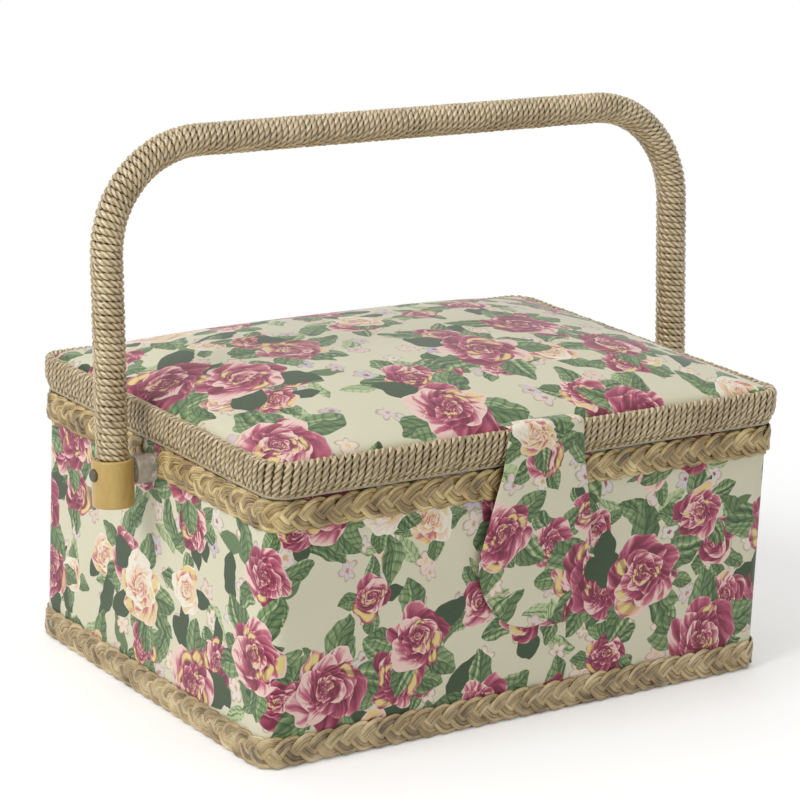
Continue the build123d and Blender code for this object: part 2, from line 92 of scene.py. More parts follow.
def mesh_piece(name, flat, faces, corner_cloth=None, weld=False):
    """Smooth mesh object of four-sided faces through places in metres; weld merges doubled places."""
    mesh = bpy.data.meshes.new(name)
    mesh.vertices.add(len(flat))
    mesh.vertices.foreach_set("co", flat.ravel())
    mesh.loops.add(faces.size)
    mesh.loops.foreach_set("vertex_index", faces.ravel())
    mesh.polygons.add(len(faces))
    mesh.polygons.foreach_set("loop_start", np.arange(len(faces)) * 4)
    if corner_cloth is not None:
        mesh.uv_layers.new(name="cloth").data.foreach_set("uv", corner_cloth.ravel())
    mesh.update(calc_edges=True)
    mesh.validate()
    mesh.polygons.foreach_set("use_smooth", np.ones(len(mesh.polygons), bool))
    if weld:
        merged = bmesh.new()
        merged.from_mesh(mesh)
        bmesh.ops.remove_doubles(merged, verts=merged.verts, dist=1e-6)
        merged.to_mesh(mesh)
        merged.free()
    piece = bpy.data.objects.new(name, mesh)
    bpy.context.scene.collection.objects.link(piece)
    print(f"{name}: {len(mesh.polygons)} faces")
    return piece


# %% Surface from a grid
def outward_order(flat, faces, facing=None):
    """Order of the corners that turns the faces outwards, or towards facing.

    The volume inside a closed shape is a third of the sum of centre times normal over its faces,
    so the sign of that sum tells which way they point.
    """
    p, q, r, s = (flat[faces[:, k]] for k in range(4))
    normals = np.cross(r - p, s - q)
    if facing is None:
        outward = np.einsum("ij,ij->", (p + q + r + s) / 4 - flat.mean(0), normals) > 0
    else:
        outward = normals.sum(0) @ np.asarray(facing, float) > 0
    return (0, 1, 2, 3) if outward else (3, 2, 1, 0)


def surface(name, points, closed=(False, False), cloth=None, facing=None, weld=False):
    """Mesh object through points of shape (grids, rows, columns, 3), in millimetres.

    Each face joins places (i, j), (i + 1, j), (i + 1, j + 1) and (i, j + 1) of its grid. cloth
    holds the two print coordinates of each place, in metres.
    """
    points = np.asarray(points, float)
    points = points[None] if points.ndim == 3 else points
    grids, rows, columns = points.shape[:3]
    i, i_next = indices(rows, closed[0])
    j, j_next = indices(columns, closed[1])
    corners = [(i, j), (i_next, j), (i_next, j_next), (i, j_next)]
    cell = np.stack([a[:, None] * columns + b[None, :] for a, b in corners], -1).reshape(-1, 4)
    faces = (cell[None] + (np.arange(grids) * rows * columns)[:, None, None]).reshape(-1, 4)
    flat = points.reshape(-1, 3) * MM
    order = outward_order(flat, faces, facing)
    if cloth is not None:
        cloth = np.asarray(cloth, float)
        cloth = cloth[None] if cloth.ndim == 3 else cloth
        steps = [(i, j), (i + 1, j), (i + 1, j + 1), (i, j + 1)]
        cloth = np.stack([cloth[:, a[:, None], b[None, :]] for a, b in steps], -2)
        cloth = cloth.reshape(-1, 4, 2)[:, order]
    return mesh_piece(name, flat, faces[:, order], cloth, weld)


# %% [markdown]
# ## Arithmetic in a material
#
# The print on the cotton is drawn by formulas, so its nodes are mostly Math nodes. They could be
# placed by hand, one by one. Here a small class stands for one number in a node sheet, and the
# usual signs between two such numbers add the Math node that works them out.

# %% Colours and nodes
def linear(red, green, blue):
    """Display colour, from 0 to 255 each, as the linear colour that shaders take."""
    share = np.array((red, green, blue)) / 255
    curve = np.where(share <= 0.04045, share / 12.92, ((share + 0.055) / 1.055) ** 2.4)
    return (*(float(c) for c in curve), 1.0)


def feed(tree, slot, value):
    """Links a Value or a socket to an input, or sets the input to a plain number or colour."""
    if isinstance(value, Value):
        tree.links.new(value.socket, slot)
    elif isinstance(value, bpy.types.NodeSocket):
        tree.links.new(value, slot)
    else:
        slot.default_value = value


def node(tree, kind, output=0, settings=(), **values):
    """Adds a node, sets its options and its inputs, and returns one of its outputs.

    An input is named, with _ for a space, or given as i0, i1 and so on where several share a name.
    """
    made = tree.nodes.new("ShaderNode" + kind)
    for option, choice in dict(settings).items():
        setattr(made, option, choice)
    for slot, value in values.items():
        slot = int(slot[1:]) if slot[0] == "i" and slot[1:].isdigit() else slot.replace("_", " ")
        feed(tree, made.inputs[slot], value)
    return made.outputs[output]


# %% One number in a node sheet
class Value:
    """One number in a node sheet. Arithmetic with it adds Math nodes."""

    def __init__(self, tree, socket):
        self.tree, self.socket = tree, socket

    def do(self, operation, *others):
        """A Math node that works on this and the others."""
        made = self.tree.nodes.new("ShaderNodeMath")
        made.operation = operation
        for slot, value in enumerate((self, *others)):
            feed(self.tree, made.inputs[slot], value)
        return Value(self.tree, made.outputs[0])

    def __add__(self, other):
        return self.do("ADD", other)

    def __sub__(self, other):
        return self.do("SUBTRACT", other)

    def __mul__(self, other):
        return self.do("MULTIPLY", other)

    def __truediv__(self, other):
        return self.do("DIVIDE", other)

    def __pow__(self, other):
        return self.do("POWER", other)

    def __abs__(self):
        return self.do("ABSOLUTE")

    def sine(self):
        return self.do("SINE")

    def floor(self):
        return self.do("FLOOR")

    def fract(self):
        return self.do("FRACT")

    def line(self, slope, start):
        """slope times this, plus start."""
        return self.do("MULTIPLY_ADD", slope, start)

    def rise(self, low, high, first=0.0, last=1.0):
        """Smooth step from first to last as this goes from low to high."""
        made = self.tree.nodes.new("ShaderNodeMapRange")
        made.interpolation_type = "SMOOTHSTEP"
        made.clamp = False
        for slot, value in enumerate((self, low, high, first, last)):
            feed(self.tree, made.inputs[slot], value)
        return Value(self.tree, made.outputs[0])

    def toward(self, other, share):
        """Mix of this and other, by share."""
        made = self.tree.nodes.new("ShaderNodeMix")
        for slot, value in zip((0, 2, 3), (share, self, other)):
            feed(self.tree, made.inputs[slot], value)
        return Value(self.tree, made.outputs[0])

    def chance(self):
        """A random number from 0 to 1 that stays the same for the same value."""
        made = node(self.tree, "TexWhiteNoise", settings=dict(noise_dimensions="1D"), W=self)
        return Value(self.tree, made)


# %% Mixes, ramps, noise and relief
def mixed(tree, share, low, high):
    """Colour that goes from low to high by share."""
    made = tree.nodes.new("ShaderNodeMix")
    made.data_type = "RGBA"
    for slot, value in zip((0, 6, 7), (share, low, high)):
        feed(tree, made.inputs[slot], value)
    return made.outputs[2]


def ramp(tree, amount, *stops):
    """Colour ramp through stops of (place, colour)."""
    made = tree.nodes.new("ShaderNodeValToRGB")
    feed(tree, made.inputs[0], amount)
    points = made.color_ramp.elements
    while len(points) < len(stops):
        points.new(1.0)
    for point, (place, colour) in zip(points, stops):
        point.position, point.color = place, colour
    return made.outputs[0]


def noise(tree, vector, scale, detail=2.0):
    """Soft noise on a vector, so many blotches to the metre."""
    return Value(tree, node(tree, "TexNoise", Vector=vector, Scale=scale, Detail=detail))


def strokes(tree, across):
    """Soft noise of one number, for brush strokes side by side."""
    one_way = dict(noise_dimensions="1D")
    return Value(tree, node(tree, "TexNoise", settings=one_way, W=across, Scale=1.0, Detail=2.0))


def material(name):
    """New material with its node sheet, its shader, and the place and cloth coordinates."""
    made = bpy.data.materials.new(name)
    made.use_nodes = True
    tree = made.node_tree
    shader = tree.nodes["Principled BSDF"]
    places = tree.nodes.new("ShaderNodeTexCoord")
    return made, tree, shader, places.outputs["Object"], places.outputs["UV"]


def bump(tree, shader, height, strength, distance):
    """Relief from a height; distance is how far, in metres, a height of one stands out."""
    made = tree.nodes.new("ShaderNodeBump")
    made.inputs["Strength"].default_value = strength
    made.inputs["Distance"].default_value = distance
    feed(tree, made.inputs["Height"], height)
    tree.links.new(made.outputs[0], shader.inputs["Normal"])


# %% [markdown]
# ## The rose print
#
# Printed cotton of this kind shows roses in several sizes on a cream ground, with leaves that
# look out from under them, buds and tiny blossoms. A painted picture could be laid on the cloth,
# but a formula gives a print of any size with no seam. A Voronoi texture scatters one centre in
# each cell, and every flower is drawn in the coordinates of its own centre, turned by chance.

# %% Scattered centres
def scatter(tree, cloth, size, shift, turn, stray):
    """Scattered centres, one to a cell: the place and its nearest centre in cells, and three chances.

    The cells are size metres wide, shifted and turned, and stray is how much, from 0 to 1, the
    centres leave an even grid. The chances are random numbers that belong to the centre.
    """
    scale = (1 / size, 1 / size, 0)
    laid = node(tree, "Mapping", Vector=cloth, Location=(*shift, 0), Rotation=(0, 0, turn), Scale=scale)
    cells = tree.nodes.new("ShaderNodeTexVoronoi")
    cells.voronoi_dimensions = "2D"
    cells.inputs["Scale"].default_value = 1
    cells.inputs["Randomness"].default_value = stray
    tree.links.new(laid, cells.inputs["Vector"])
    parted = tree.nodes.new("ShaderNodeSeparateColor")
    tree.links.new(cells.outputs["Color"], parted.inputs[0])
    return laid, cells.outputs["Position"], [Value(tree, socket) for socket in parted.outputs]


def scaled(tree, vector, factor):
    """The vector times a factor."""
    return node(tree, "VectorMath", settings=dict(operation="SCALE"), i0=vector, i3=factor)


def seen_from(tree, place, centre, angle, factor):
    """The place seen from a centre, turned by an angle and scaled."""
    turned = [
        node(tree, "VectorRotate", settings=dict(rotation_type="Z_AXIS"), Vector=spot, Angle=angle)
        for spot in (place, centre)
    ]
    local = node(tree, "VectorMath", settings=dict(operation="SUBTRACT"), i0=turned[0], i1=turned[1])
    return scaled(tree, local, factor)


def parts(tree, vector):
    """The first two coordinates of a vector."""
    split = tree.nodes.new("ShaderNodeSeparateXYZ")
    tree.links.new(vector, split.inputs[0])
    return Value(tree, split.outputs[0]), Value(tree, split.outputs[1])


def length_of(tree, vector):
    """Distance of a place from the origin."""
    return Value(tree, node(tree, "VectorMath", 1, dict(operation="LENGTH"), i0=vector))


# %% [markdown]
# A rose is two sets of nested rings of petals, and the rings of the one set show between the
# petals of the other. The edge of a ring is a circle that dips between its petals, as the absolute
# value of a sine does, so a place belongs to the smallest ring that still holds it. Each petal is
# deep or pale by chance, brush strokes run outwards over it from its foot, and a few petals have
# a yellow flare.

# %% Petals
RING_STEP = 0.62  # size of a ring of petals as a share of the ring outside it in its set


def nested(tree, away, turn, first):
    """Number of the smallest ring that holds a place, and how far out in that ring the place is.

    The edge of a ring is first * RING_STEP ** number * (0.84 + 0.26 * |sin(pi * turn)|), with one
    petal to each whole turn.
    """
    reach = away / abs((turn * np.pi).sine()).line(0.26 * first, 0.84 * first)
    number = reach.do("LOGARITHM", RING_STEP).floor()
    grown = node(tree, "Math", settings=dict(operation="POWER"), i0=1 / RING_STEP, i1=number)
    return number, reach * Value(tree, grown)


def petals(tree, local, chance, count):
    """Tone and yellow of a flower of radius 1, and where it shows.

    The two sets lie half a petal apart, and the petals wind inwards along a spiral. A petal is
    dark at its foot and has a pale edge.
    """
    x, y = parts(tree, local)
    away = length_of(tree, local)
    angle = y.do("ARCTAN2", x)
    # The sine makes the petals unequally wide, and the logarithm of the distance is the spiral
    bent = angle + (angle * 2.0 + chance * 40.0).sine() * 0.22 + away.do("LOGARITHM", np.e) * 0.45
    outer_turn = bent.line(count / (2 * np.pi), chance * 9.0)
    inner_turn = outer_turn + 0.5
    outer, outer_share = nested(tree, away, outer_turn, 1.0)
    inner, inner_share = nested(tree, away, inner_turn, 0.8)
    over = (inner + 0.5).do("GREATER_THAN", outer)
    share, turn = outer_share.toward(inner_share, over), outer_turn.toward(inner_turn, over)
    number = outer.do("MAXIMUM", inner)
    # One number for each petal of each ring, set and flower, from which its chances come
    petal = turn.floor().do("FLOORED_MODULO", count) + number.line(11.0, over * 5.0) + chance * 60.0
    side = turn.fract()
    stroke = strokes(tree, side * 4.5 + share * 1.2 + petal * 13.0)
    tone = (petal.chance() ** 1.6).line(0.8, stroke.line(1.5, -0.64)) + share.rise(0.6, 0.92, -0.3, 0.1)
    tone = tone + share.rise(0.92, 0.985, 0.0, 0.2) - away.rise(0.1, 0.55, 0.24, 0.0) + x * 0.08
    yellow = (petal + 0.5).chance().rise(0.83, 0.84) * (side * np.pi).sine().rise(0.62, 0.78)
    yellow = yellow * share.rise(0.68, 0.78) * share.rise(0.88, 0.96, 1.0, 0.0)
    yellow = yellow * stroke.rise(0.36, 0.5, 0.5, 1.0)
    return tone, yellow, number.do("GREATER_THAN", -0.5)


# %% Leaves
def leaf_tone(tree, along, across, length, width, chance):
    """Tone of a leaf from 0 to length along, and its share at each place.

    Its half width is width * sin(pi * along / length) ** 0.8. The side veins are dark strokes that
    start at lines of along minus 0.7 times the distance from the midrib, six to a leaf. Two leaves
    in nine are nearly plain and dark.
    """
    way = along / length
    half = (way * np.pi).sine().do("MAXIMUM", 0.0) ** 0.8 * width
    off = abs(across)
    shown = (off / half.do("MAXIMUM", 1e-5)).rise(0.93, 1.0, 1.0, 0.0)
    shown = shown * way.rise(0.0, 0.02) * way.rise(0.98, 1.0, 1.0, 0.0)
    vein = ((along - off * 0.7) * (6 / length)).fract().rise(0.0, 0.5, 0.3, 0.0)
    rib = (off / width).rise(0.02, 0.1, 0.3, 0.0)
    stroke = strokes(tree, across * (3.5 / width) + way * 2.5 + chance * 19.0)
    tone = stroke.line(1.1, 0.08) - vein.do("MAXIMUM", rib) - way.rise(0.0, 0.4, 0.2, 0.0)
    tone = tone + (across / width).rise(-0.1, 0.1, -0.1, 0.08)
    plain = stroke.line(0.14, 0.02)
    return tone.toward(plain, chance.rise(0.22, 0.23, 1.0, 0.0)), shown


# %% [markdown]
# A cluster is a rose with four or five leaves under it. The leaves come from one formula too: the
# circle round the rose is cut into as many sectors, each sector is turned to the same place, and
# the chance of each sector says how its leaf looks and whether it has one at all.

# %% Colours of the print
BURGUNDY, ROSE, PINK = linear(108, 24, 50), linear(154, 54, 84), linear(196, 108, 128)
BLUSH, YELLOW = linear(236, 204, 192), linear(228, 206, 132)
TAN, LILAC, WHITE = linear(180, 150, 116), linear(190, 184, 200), linear(238, 232, 212)
DARK_GREEN, GREEN = linear(36, 56, 30), linear(74, 102, 58)
PALE_GREEN, GREY_GREEN = linear(122, 146, 98), linear(184, 198, 150)


def leaf_colours(tree, tone):
    """Green of a leaf, darker or paler by tone."""
    return ramp(tree, tone, (0.0, DARK_GREEN), (0.4, GREEN), (0.72, PALE_GREEN), (1.0, GREY_GREEN))


def rose_colours(tree, tone, yellow, chance):
    """Colour of a rose by tone, with yellow flares; about one flower in six is cream, not red."""
    rosy = ramp(tree, tone, (0.0, BURGUNDY), (0.34, ROSE), (0.64, PINK), (0.9, BLUSH))
    pale = ramp(tree, tone, (0.0, PINK), (0.22, YELLOW), (0.45, BLUSH), (0.75, WHITE))
    return mixed(tree, yellow, mixed(tree, chance.rise(0.84, 0.85), rosy, pale), YELLOW)


# %% Roses, leaves and blossoms over a ground
def cluster(tree, colour, cloth, size, radius, shift, turn, count, leaves):
    """Lays scattered roses of about a radius over a colour, count petals to a ring, with leaves."""
    place, centre, chances = scatter(tree, cloth, size, shift, turn, 0.6)
    angle, factor = chances[0] * (2 * np.pi), chances[1].line(-0.35 * size / radius, 1.15 * size / radius)
    local = seen_from(tree, place, centre, angle, factor)
    x, y = parts(tree, local)
    sector = y.do("ARCTAN2", x).line(leaves / (2 * np.pi), chances[2]).floor()
    middle = (sector - chances[2]).line(-2 * np.pi / leaves, -np.pi / leaves)
    along, across = parts(tree, seen_from(tree, place, centre, angle + middle, factor))
    luck = (sector + chances[1] * 7.0).chance()
    tone, shown = leaf_tone(tree, along - 0.45, across, 1.4, 0.42, luck)
    colour = mixed(tree, shown * luck.do("GREATER_THAN", 0.12), colour, leaf_colours(tree, tone))
    tone, yellow, shown = petals(tree, local, chances[2], count)
    return mixed(tree, shown, colour, rose_colours(tree, tone, yellow, chances[2]))


def loose_leaves(tree, colour, cloth, size, shift, turn, pale):
    """Lays single curved leaves over a colour, 0.8 of a cell long; pale is added to their tone."""
    place, centre, chances = scatter(tree, cloth, size, shift, turn, 0.8)
    along, across = parts(tree, seen_from(tree, place, centre, chances[0] * (2 * np.pi), size))
    bend = along * along * 14.0
    tone, shown = leaf_tone(tree, along + 0.4 * size, across + bend, 0.8 * size, 0.17 * size, chances[1])
    return mixed(tree, shown * chances[2].do("GREATER_THAN", 0.3), colour, leaf_colours(tree, tone + pale))


def blossoms(tree, colour, cloth, size, shift, turn):
    """Lays tiny five-petalled flowers with a drawn outline over a colour.

    The edge is at size * (0.19 + 0.17 * |sin(2.5 * angle + 0.4)|).
    """
    place, centre, chances = scatter(tree, cloth, size, shift, turn, 0.8)
    local = seen_from(tree, place, centre, chances[0] * (2 * np.pi), size)
    x, y = parts(tree, local)
    away = length_of(tree, local)
    edge = abs(y.do("ARCTAN2", x).line(2.5, 0.4).sine()).line(0.17 * size, 0.19 * size)
    share = away / edge
    petal = mixed(tree, chances[1], WHITE, mixed(tree, chances[2], BLUSH, LILAC))
    petal = mixed(tree, share.rise(0.7, 0.95), petal, TAN)
    petal = mixed(tree, share.rise(0.16, 0.3, 1.0, 0.0), petal, mixed(tree, chances[2], YELLOW, ROSE))
    return mixed(tree, share.rise(0.9, 1.0, 1.0, 0.0) * chances[1].do("GREATER_THAN", 0.35), colour, petal)


# %% The whole print
SWAY = 0.0085  # how far a soft noise bends the drawn lines, in metres
GROUND = linear(212, 208, 180), linear(221, 216, 189)
WEAVE = 7000.0  # radians of the weave to the metre


def make_print():
    """Cotton with the print, a plain weave and a soft sheen."""
    made, tree, shader, _, cloth = material("printed cotton")
    sway = node(tree, "TexNoise", 1, Vector=cloth, Scale=80.0, Detail=1.5)
    sway = node(tree, "VectorMath", settings=dict(operation="SUBTRACT"), i0=sway, i1=(0.5, 0.5, 0.5))
    drawn = node(tree, "VectorMath", settings=dict(operation="ADD"), i0=scaled(tree, sway, SWAY), i1=cloth)
    ground = noise(tree, cloth, 30.0)
    colour = mixed(tree, ground, *GROUND)
    colour = loose_leaves(tree, colour, drawn, size=0.027, shift=(0.3, 0.1), turn=0.4, pale=0.4)
    colour = blossoms(tree, colour, drawn, size=0.0165, shift=(0.5, 0.7), turn=0.9)
    colour = loose_leaves(tree, colour, drawn, size=0.036, shift=(0.8, 0.6), turn=1.7, pale=0.0)
    # Buds, middling roses and large roses, each kind laid over the one before
    for size, radius, shift, turn, count, leaves in (
        (0.047, 0.0104, (0.2, 0.9), 2.3, 3, 4),
        (0.062, 0.0132, (0.1, 0.4), 2.9, 5, 5),
        (0.073, 0.0184, (0.7, 0.3), 0.8, 5, 5),
    ):
        colour = cluster(tree, colour, drawn, size, radius, shift, turn, count, leaves)
    feed(tree, shader.inputs["Base Color"], colour)
    along, across = parts(tree, cloth)
    weave = (along * WEAVE).sine() * (across * WEAVE).sine()
    bump(tree, shader, weave + noise(tree, cloth, 900.0), 0.25, 0.00006)
    shader.inputs["Roughness"].default_value = 0.72
    shader.inputs["Sheen Weight"].default_value = 0.32
    print("nodes in the print:", len(tree.nodes))
    return made


PRINT = make_print()

# %% [markdown]
# ## Cord and straw
#
# The winding is a shiny cord of three plies laid together, and the light runs along each of them in
# short slanted strokes. The plies could be a striped pattern on a round cord, but their grooves
# catch the light from each side in another way, so they are in its mesh. The material adds only
# what is finer: painted shade in the grooves, a painted highlight on the crests of the plies, and
# fibres that run along them. Straw is split and plaited flat, with long fibres and a golden gloss
# that differs from straw to straw.

# %% Materials of cord and straw
def make_cord(name, dark, base, light):
    """Cord of three plies, with painted shade in its grooves at 0, 1/3 and 2/3 of the way round."""
    made, tree, shader, place, cloth = material(name)
    along, around = parts(tree, cloth)
    # Painted shade and painted highlight: 0 in the grooves between the plies and 1 on their crests, so the
    # ramp below gives the grooves the dark colour and the crests the light one
    painted_ply_shading = abs((around * (3 * np.pi)).sine())
    lengthwise = node(tree, "CombineXYZ", X=along * 170.0, Y=around * 13.0, Z=along * 31.0)
    fibre = noise(tree, lengthwise, 1.0, 3.0)
    patch = noise(tree, place, 55.0)
    tone = painted_ply_shading.line(0.52, patch.line(0.36, -0.18)) + fibre.line(0.9, -0.26)
    feed(tree, shader.inputs["Base Color"], ramp(tree, tone, (0.12, dark), (0.5, base), (0.88, light)))
    feed(tree, shader.inputs["Roughness"], fibre.rise(0.25, 0.75, 0.22, 0.4))
    shader.inputs["Specular IOR Level"].default_value = 0.9
    bump(tree, shader, fibre, 0.7, 0.00025)
    return made


def make_straw(name, dark, base, light):
    """Flat straw: long fibres along it, each straw with its own tone."""
    made, tree, shader, place, cloth = material(name)
    along, around = parts(tree, cloth)
    tint = around.floor().chance()
    long_grain = node(tree, "CombineXYZ", X=along * 70.0, Y=around * 16.0, Z=tint * 30.0)
    fibre = noise(tree, long_grain, 1.0, 4.0)
    patch = noise(tree, place, 90.0, 3.0)
    tone = fibre.line(0.95, tint.line(0.24, -0.2)) + patch.line(0.9, -0.4)
    feed(tree, shader.inputs["Base Color"], ramp(tree, tone, (0.16, dark), (0.48, base), (0.84, light)))
    feed(tree, shader.inputs["Roughness"], fibre.rise(0.3, 0.7, 0.22, 0.42))
    shader.inputs["Specular IOR Level"].default_value = 0.8
    bump(tree, shader, fibre, 0.8, 0.00035)
    return made


# The dark colour of each cord is painted shade along the three groove lines round it, and the light one a
# painted highlight between them; the base colour and the fibres are the cord's own
RIM_CORD = make_cord("rim cord", linear(80, 64, 38), linear(176, 154, 113), linear(230, 212, 174))
EDGE_CORD = make_cord("edge cord", linear(128, 112, 84), linear(176, 158, 128), linear(206, 190, 160))
HANDLE_CORD = make_cord("handle cord", linear(84, 66, 38), linear(184, 162, 120), linear(242, 225, 188))
STRAW = make_straw("golden straw", linear(70, 50, 22), linear(166, 138, 82), linear(242, 222, 164))
BASE_STRAW = make_straw("dull straw", linear(84, 67, 36), linear(180, 155, 108), linear(234, 216, 172))

# %% [markdown]
# ## Other finishes
#
# The caps are semi-gloss moulded plastic, the cushion is satin, the boards are plain fibreboard
# and the fittings plated steel. Each could be one flat colour, but no real surface is quite even.
# So each is a colour that varies a little from place to place, and a roughness and relief that go
# with it, all from one function.

# %% Plain finishes with their own grain
def make_plain(name, low, high, grain, rough, relief=0.0, stretch=(1, 1, 1), **sockets):
    """Finish whose colour runs from low to high with soft noise, grain blotches to the metre."""
    made, tree, shader, place, _ = material(name)
    laid = node(tree, "Mapping", Vector=place, Scale=stretch)
    broad = noise(tree, laid, grain, 3.0)
    fine = noise(tree, laid, grain * 8)
    stops = (0.3, linear(*low)), (0.7, linear(*high))
    feed(tree, shader.inputs["Base Color"], ramp(tree, broad * 0.6 + fine * 0.4, *stops))
    feed(tree, shader.inputs["Roughness"], fine.rise(0.2, 0.8, rough - 0.06, rough + 0.06))
    bump(tree, shader, fine + broad, 0.6, relief)
    for socket, value in sockets.items():
        shader.inputs[socket.replace("_", " ")].default_value = value
    return made


CAP = make_plain(
    "ochre plastic", (178, 144, 78), (198, 168, 98), 60, 0.34, 0.00004, (1, 1, 0.3), Coat_Weight=0.2
)
BOARD = make_plain("fibreboard", (112, 92, 58), (140, 118, 78), 300, 0.85, 0.0001)
RIM_BOARD = make_plain("olive board", (96, 84, 42), (122, 108, 58), 300, 0.85, 0.0001)
WOOD = make_plain("wood strip", (168, 128, 82), (204, 168, 120), 160, 0.6, 0.0001, (1, 0.06, 1))
SATIN = make_plain("lining satin", (206, 184, 152), (226, 206, 176), 700, 0.42, 0.00003, Sheen_Weight=0.5)
FOAM = make_plain("pad foam", (228, 224, 206), (240, 236, 220), 900, 0.9, 0.0001)
TRAY_PLASTIC = make_plain("tray plastic", (226, 222, 208), (234, 231, 220), 80, 0.42, 0.00002)
TUBE = make_plain("tube plastic", (140, 116, 78), (156, 132, 92), 90, 0.5, 0.00002)
STEEL = make_plain("plated steel", (168, 160, 142), (196, 190, 174), 500, 0.3, 0.00001, Metallic=1.0)
BRONZE = make_plain("bronzed pin", (84, 76, 62), (124, 114, 94), 900, 0.4, 0.00003, Metallic=0.8)


# %% Clear plastic
def make_clear():
    """Clear, wrinkled plastic of the handle's spacers."""
    made, tree, shader, place, _ = material("clear plastic")
    creases = noise(tree, place, 420.0, 3.0)
    stops = (0.35, linear(218, 209, 190)), (0.65, linear(248, 244, 234))
    feed(tree, shader.inputs["Base Color"], ramp(tree, creases, *stops))
    feed(tree, shader.inputs["Roughness"], creases.rise(0.3, 0.7, 0.05, 0.25))
    shader.inputs["Transmission Weight"].default_value = 0.6
    shader.inputs["IOR"].default_value = 1.46
    bump(tree, shader, creases, 1.0, 0.0006)
    return made


CLEAR = make_clear()

# %% [markdown]
# ## The printed cloth on the walls
#
# The walls are boards with cotton glued over them, turned in over the top edge. They could be four
# flat sheets, but then the print would break off at each corner. So the whole wall is one closed
# profile carried round a rounded rectangle, and the print runs on round the corners as one length
# of cloth does, with its seam in the middle of the back.

# %% Lines, directions and heights
def closed_up(line):
    """The line with its first point again at its end."""
    return np.concatenate((line, line[:1]))


def far_along(line):
    """Distance along a broken line from its start to each of its points."""
    return np.concatenate(([0], np.cumsum(np.linalg.norm(np.diff(line, axis=0), axis=1))))


def places_at(line, far, at):
    """Places on a broken line at given distances, from the distances of its own points."""
    return np.stack([np.interp(at, far, line[:, k]) for k in range(line.shape[1])], -1)


def direction(angle):
    """Direction in the plane at an angle: its cosine and its sine."""
    return np.stack((np.cos(angle), np.sin(angle)), -1)


def pairs(first, second):
    """Grid of all pairs of the numbers of two rows."""
    return np.stack(np.meshgrid(first, second, indexing="ij"), -1)


def raised(flat, height):
    """Places or directions in the plane, with a height added to each."""
    return np.concatenate((flat, np.broadcast_to(height, flat.shape[:-1])[..., None]), -1)


# %% Walks round the box
def walk(half_x, half_y, corner, count, stretch=1.0):
    """Evenly spaced places on a rounded rectangle from the middle of the back round by the left.

    Returns the places, the directions straight out of them and the distance round so far. The
    direction turns evenly along each corner and not at all between them. At the corners the
    places are stretch times as far apart.
    """
    quarter = np.pi / 2
    turns = np.linspace(0, quarter, 25)
    centres = np.array([(-1, 1), (-1, -1), (1, -1), (1, 1)]) * (half_x - corner, half_y - corner)
    back = (0, half_y - corner)
    angle = np.concatenate([[quarter], *(quarter * (k + 1) + turns for k in range(4)), [5 * quarter]])
    middle = np.concatenate([[back], np.repeat(centres, len(turns), 0), [back]])
    dense = middle + corner * direction(angle)
    far = far_along(dense)
    slow = np.cumsum(np.append(0, np.diff(far) / np.where(np.diff(angle) > 0, stretch, 1)))
    at = np.interp(np.linspace(0, slow[-1], count, endpoint=False), slow, far)
    return places_at(dense, far, at), direction(np.interp(at, far, angle)), np.append(at, far[-1])


def outer_box(name):
    """Half width and half depth of a node, and its lowest and highest place, in millimetres."""
    low, high = (np.array(v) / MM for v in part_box(name))
    return high[0], high[1], low[2], high[2]


# %% A profile carried round
def carried(profile, half_x, half_y, corner, count):
    """Closed profile of (out, z) carried round a rounded rectangle, with its cloth coordinates."""
    place, outward, far = walk(half_x, half_y, corner, count)
    grid = raised(place[:, None] + outward[:, None] * profile[None, :, :1], profile[:, 1])
    return grid, pairs(far, far_along(closed_up(profile))) * MM


def arc(x, z, radius, start, end, count=6):
    """Points of an arc about (x, z), angles in degrees."""
    return np.array((x, z)) + radius * direction(np.radians(np.linspace(start, end, count)))


# %% Wall cloth
BODY_CORNER, CLOTH, BOARD_EDGE = 9.0, 0.6, 3.7
TOP_ROUND = 1.0  # how round the cloth is folded in over the top edge
wall_x, wall_y, wall_low, wall_top = outer_box("cover_fabric")
up_wall = np.linspace(wall_low, wall_top - 1.2 * TOP_ROUND, 70)
profile = np.concatenate((
    np.stack((0 * up_wall, up_wall), -1),
    arc(-TOP_ROUND, wall_top - TOP_ROUND, TOP_ROUND, 8, 90),
    [(-BOARD_EDGE, wall_top), (-BOARD_EDGE, wall_top - CLOTH)],
    [(-CLOTH, wall_top - CLOTH), (-CLOTH, wall_low)],
))
grid, cloth = carried(profile, wall_x, wall_y, BODY_CORNER, 520)
wall_cloth = surface("wall_cloth", grid, (True, True), cloth)
wall_cloth.data.materials.append(PRINT)
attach(wall_cloth, "box")
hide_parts("cover_fabric")

# %% [markdown]
# ## The padded lid
#
# Foam under the same cotton gives the lid its crown. The height over the rim is
# rise * (1 - |x / a| ** 4) * (1 - |y / b| ** 3): flat in the middle and steep at the rim. That
# alone would do, but it looks carved. So the cloth is pinned at the rim and blown up a little by a
# cloth simulation, which rounds it as a stuffed cover is, and the result is held close to the
# measured crown.

# %% Cloth with an underside
def slab(name, upper, lower, cloth):
    """Closed mesh between two grids of points, in millimetres, with a band round their borders."""
    rows, columns = upper.shape[:2]
    number = np.arange(rows * columns).reshape(rows, columns)
    corners = number[:-1, :-1], number[1:, :-1], number[1:, 1:], number[:-1, 1:]
    face = np.stack(corners, -1).reshape(-1, 4)
    border = np.concatenate((number[:-1, 0], number[-1, :-1], number[:0:-1, -1], number[0, :0:-1]))
    after = np.roll(border, -1)
    under = rows * columns
    band = np.stack((border + under, after + under, after, border), -1)
    faces = np.concatenate((face, band, (face + under)[:, ::-1]))
    flat = np.concatenate((upper.reshape(-1, 3), lower.reshape(-1, 3))) * MM
    faces = faces[:, outward_order(flat, faces)]
    return mesh_piece(name, flat, faces, np.tile(cloth.reshape(-1, 2), (2, 1))[faces])


def square(rows, columns):
    """Even grid of places in a square from -1 to 1."""
    return pairs(np.linspace(-1, 1, rows), np.linspace(-1, 1, columns))


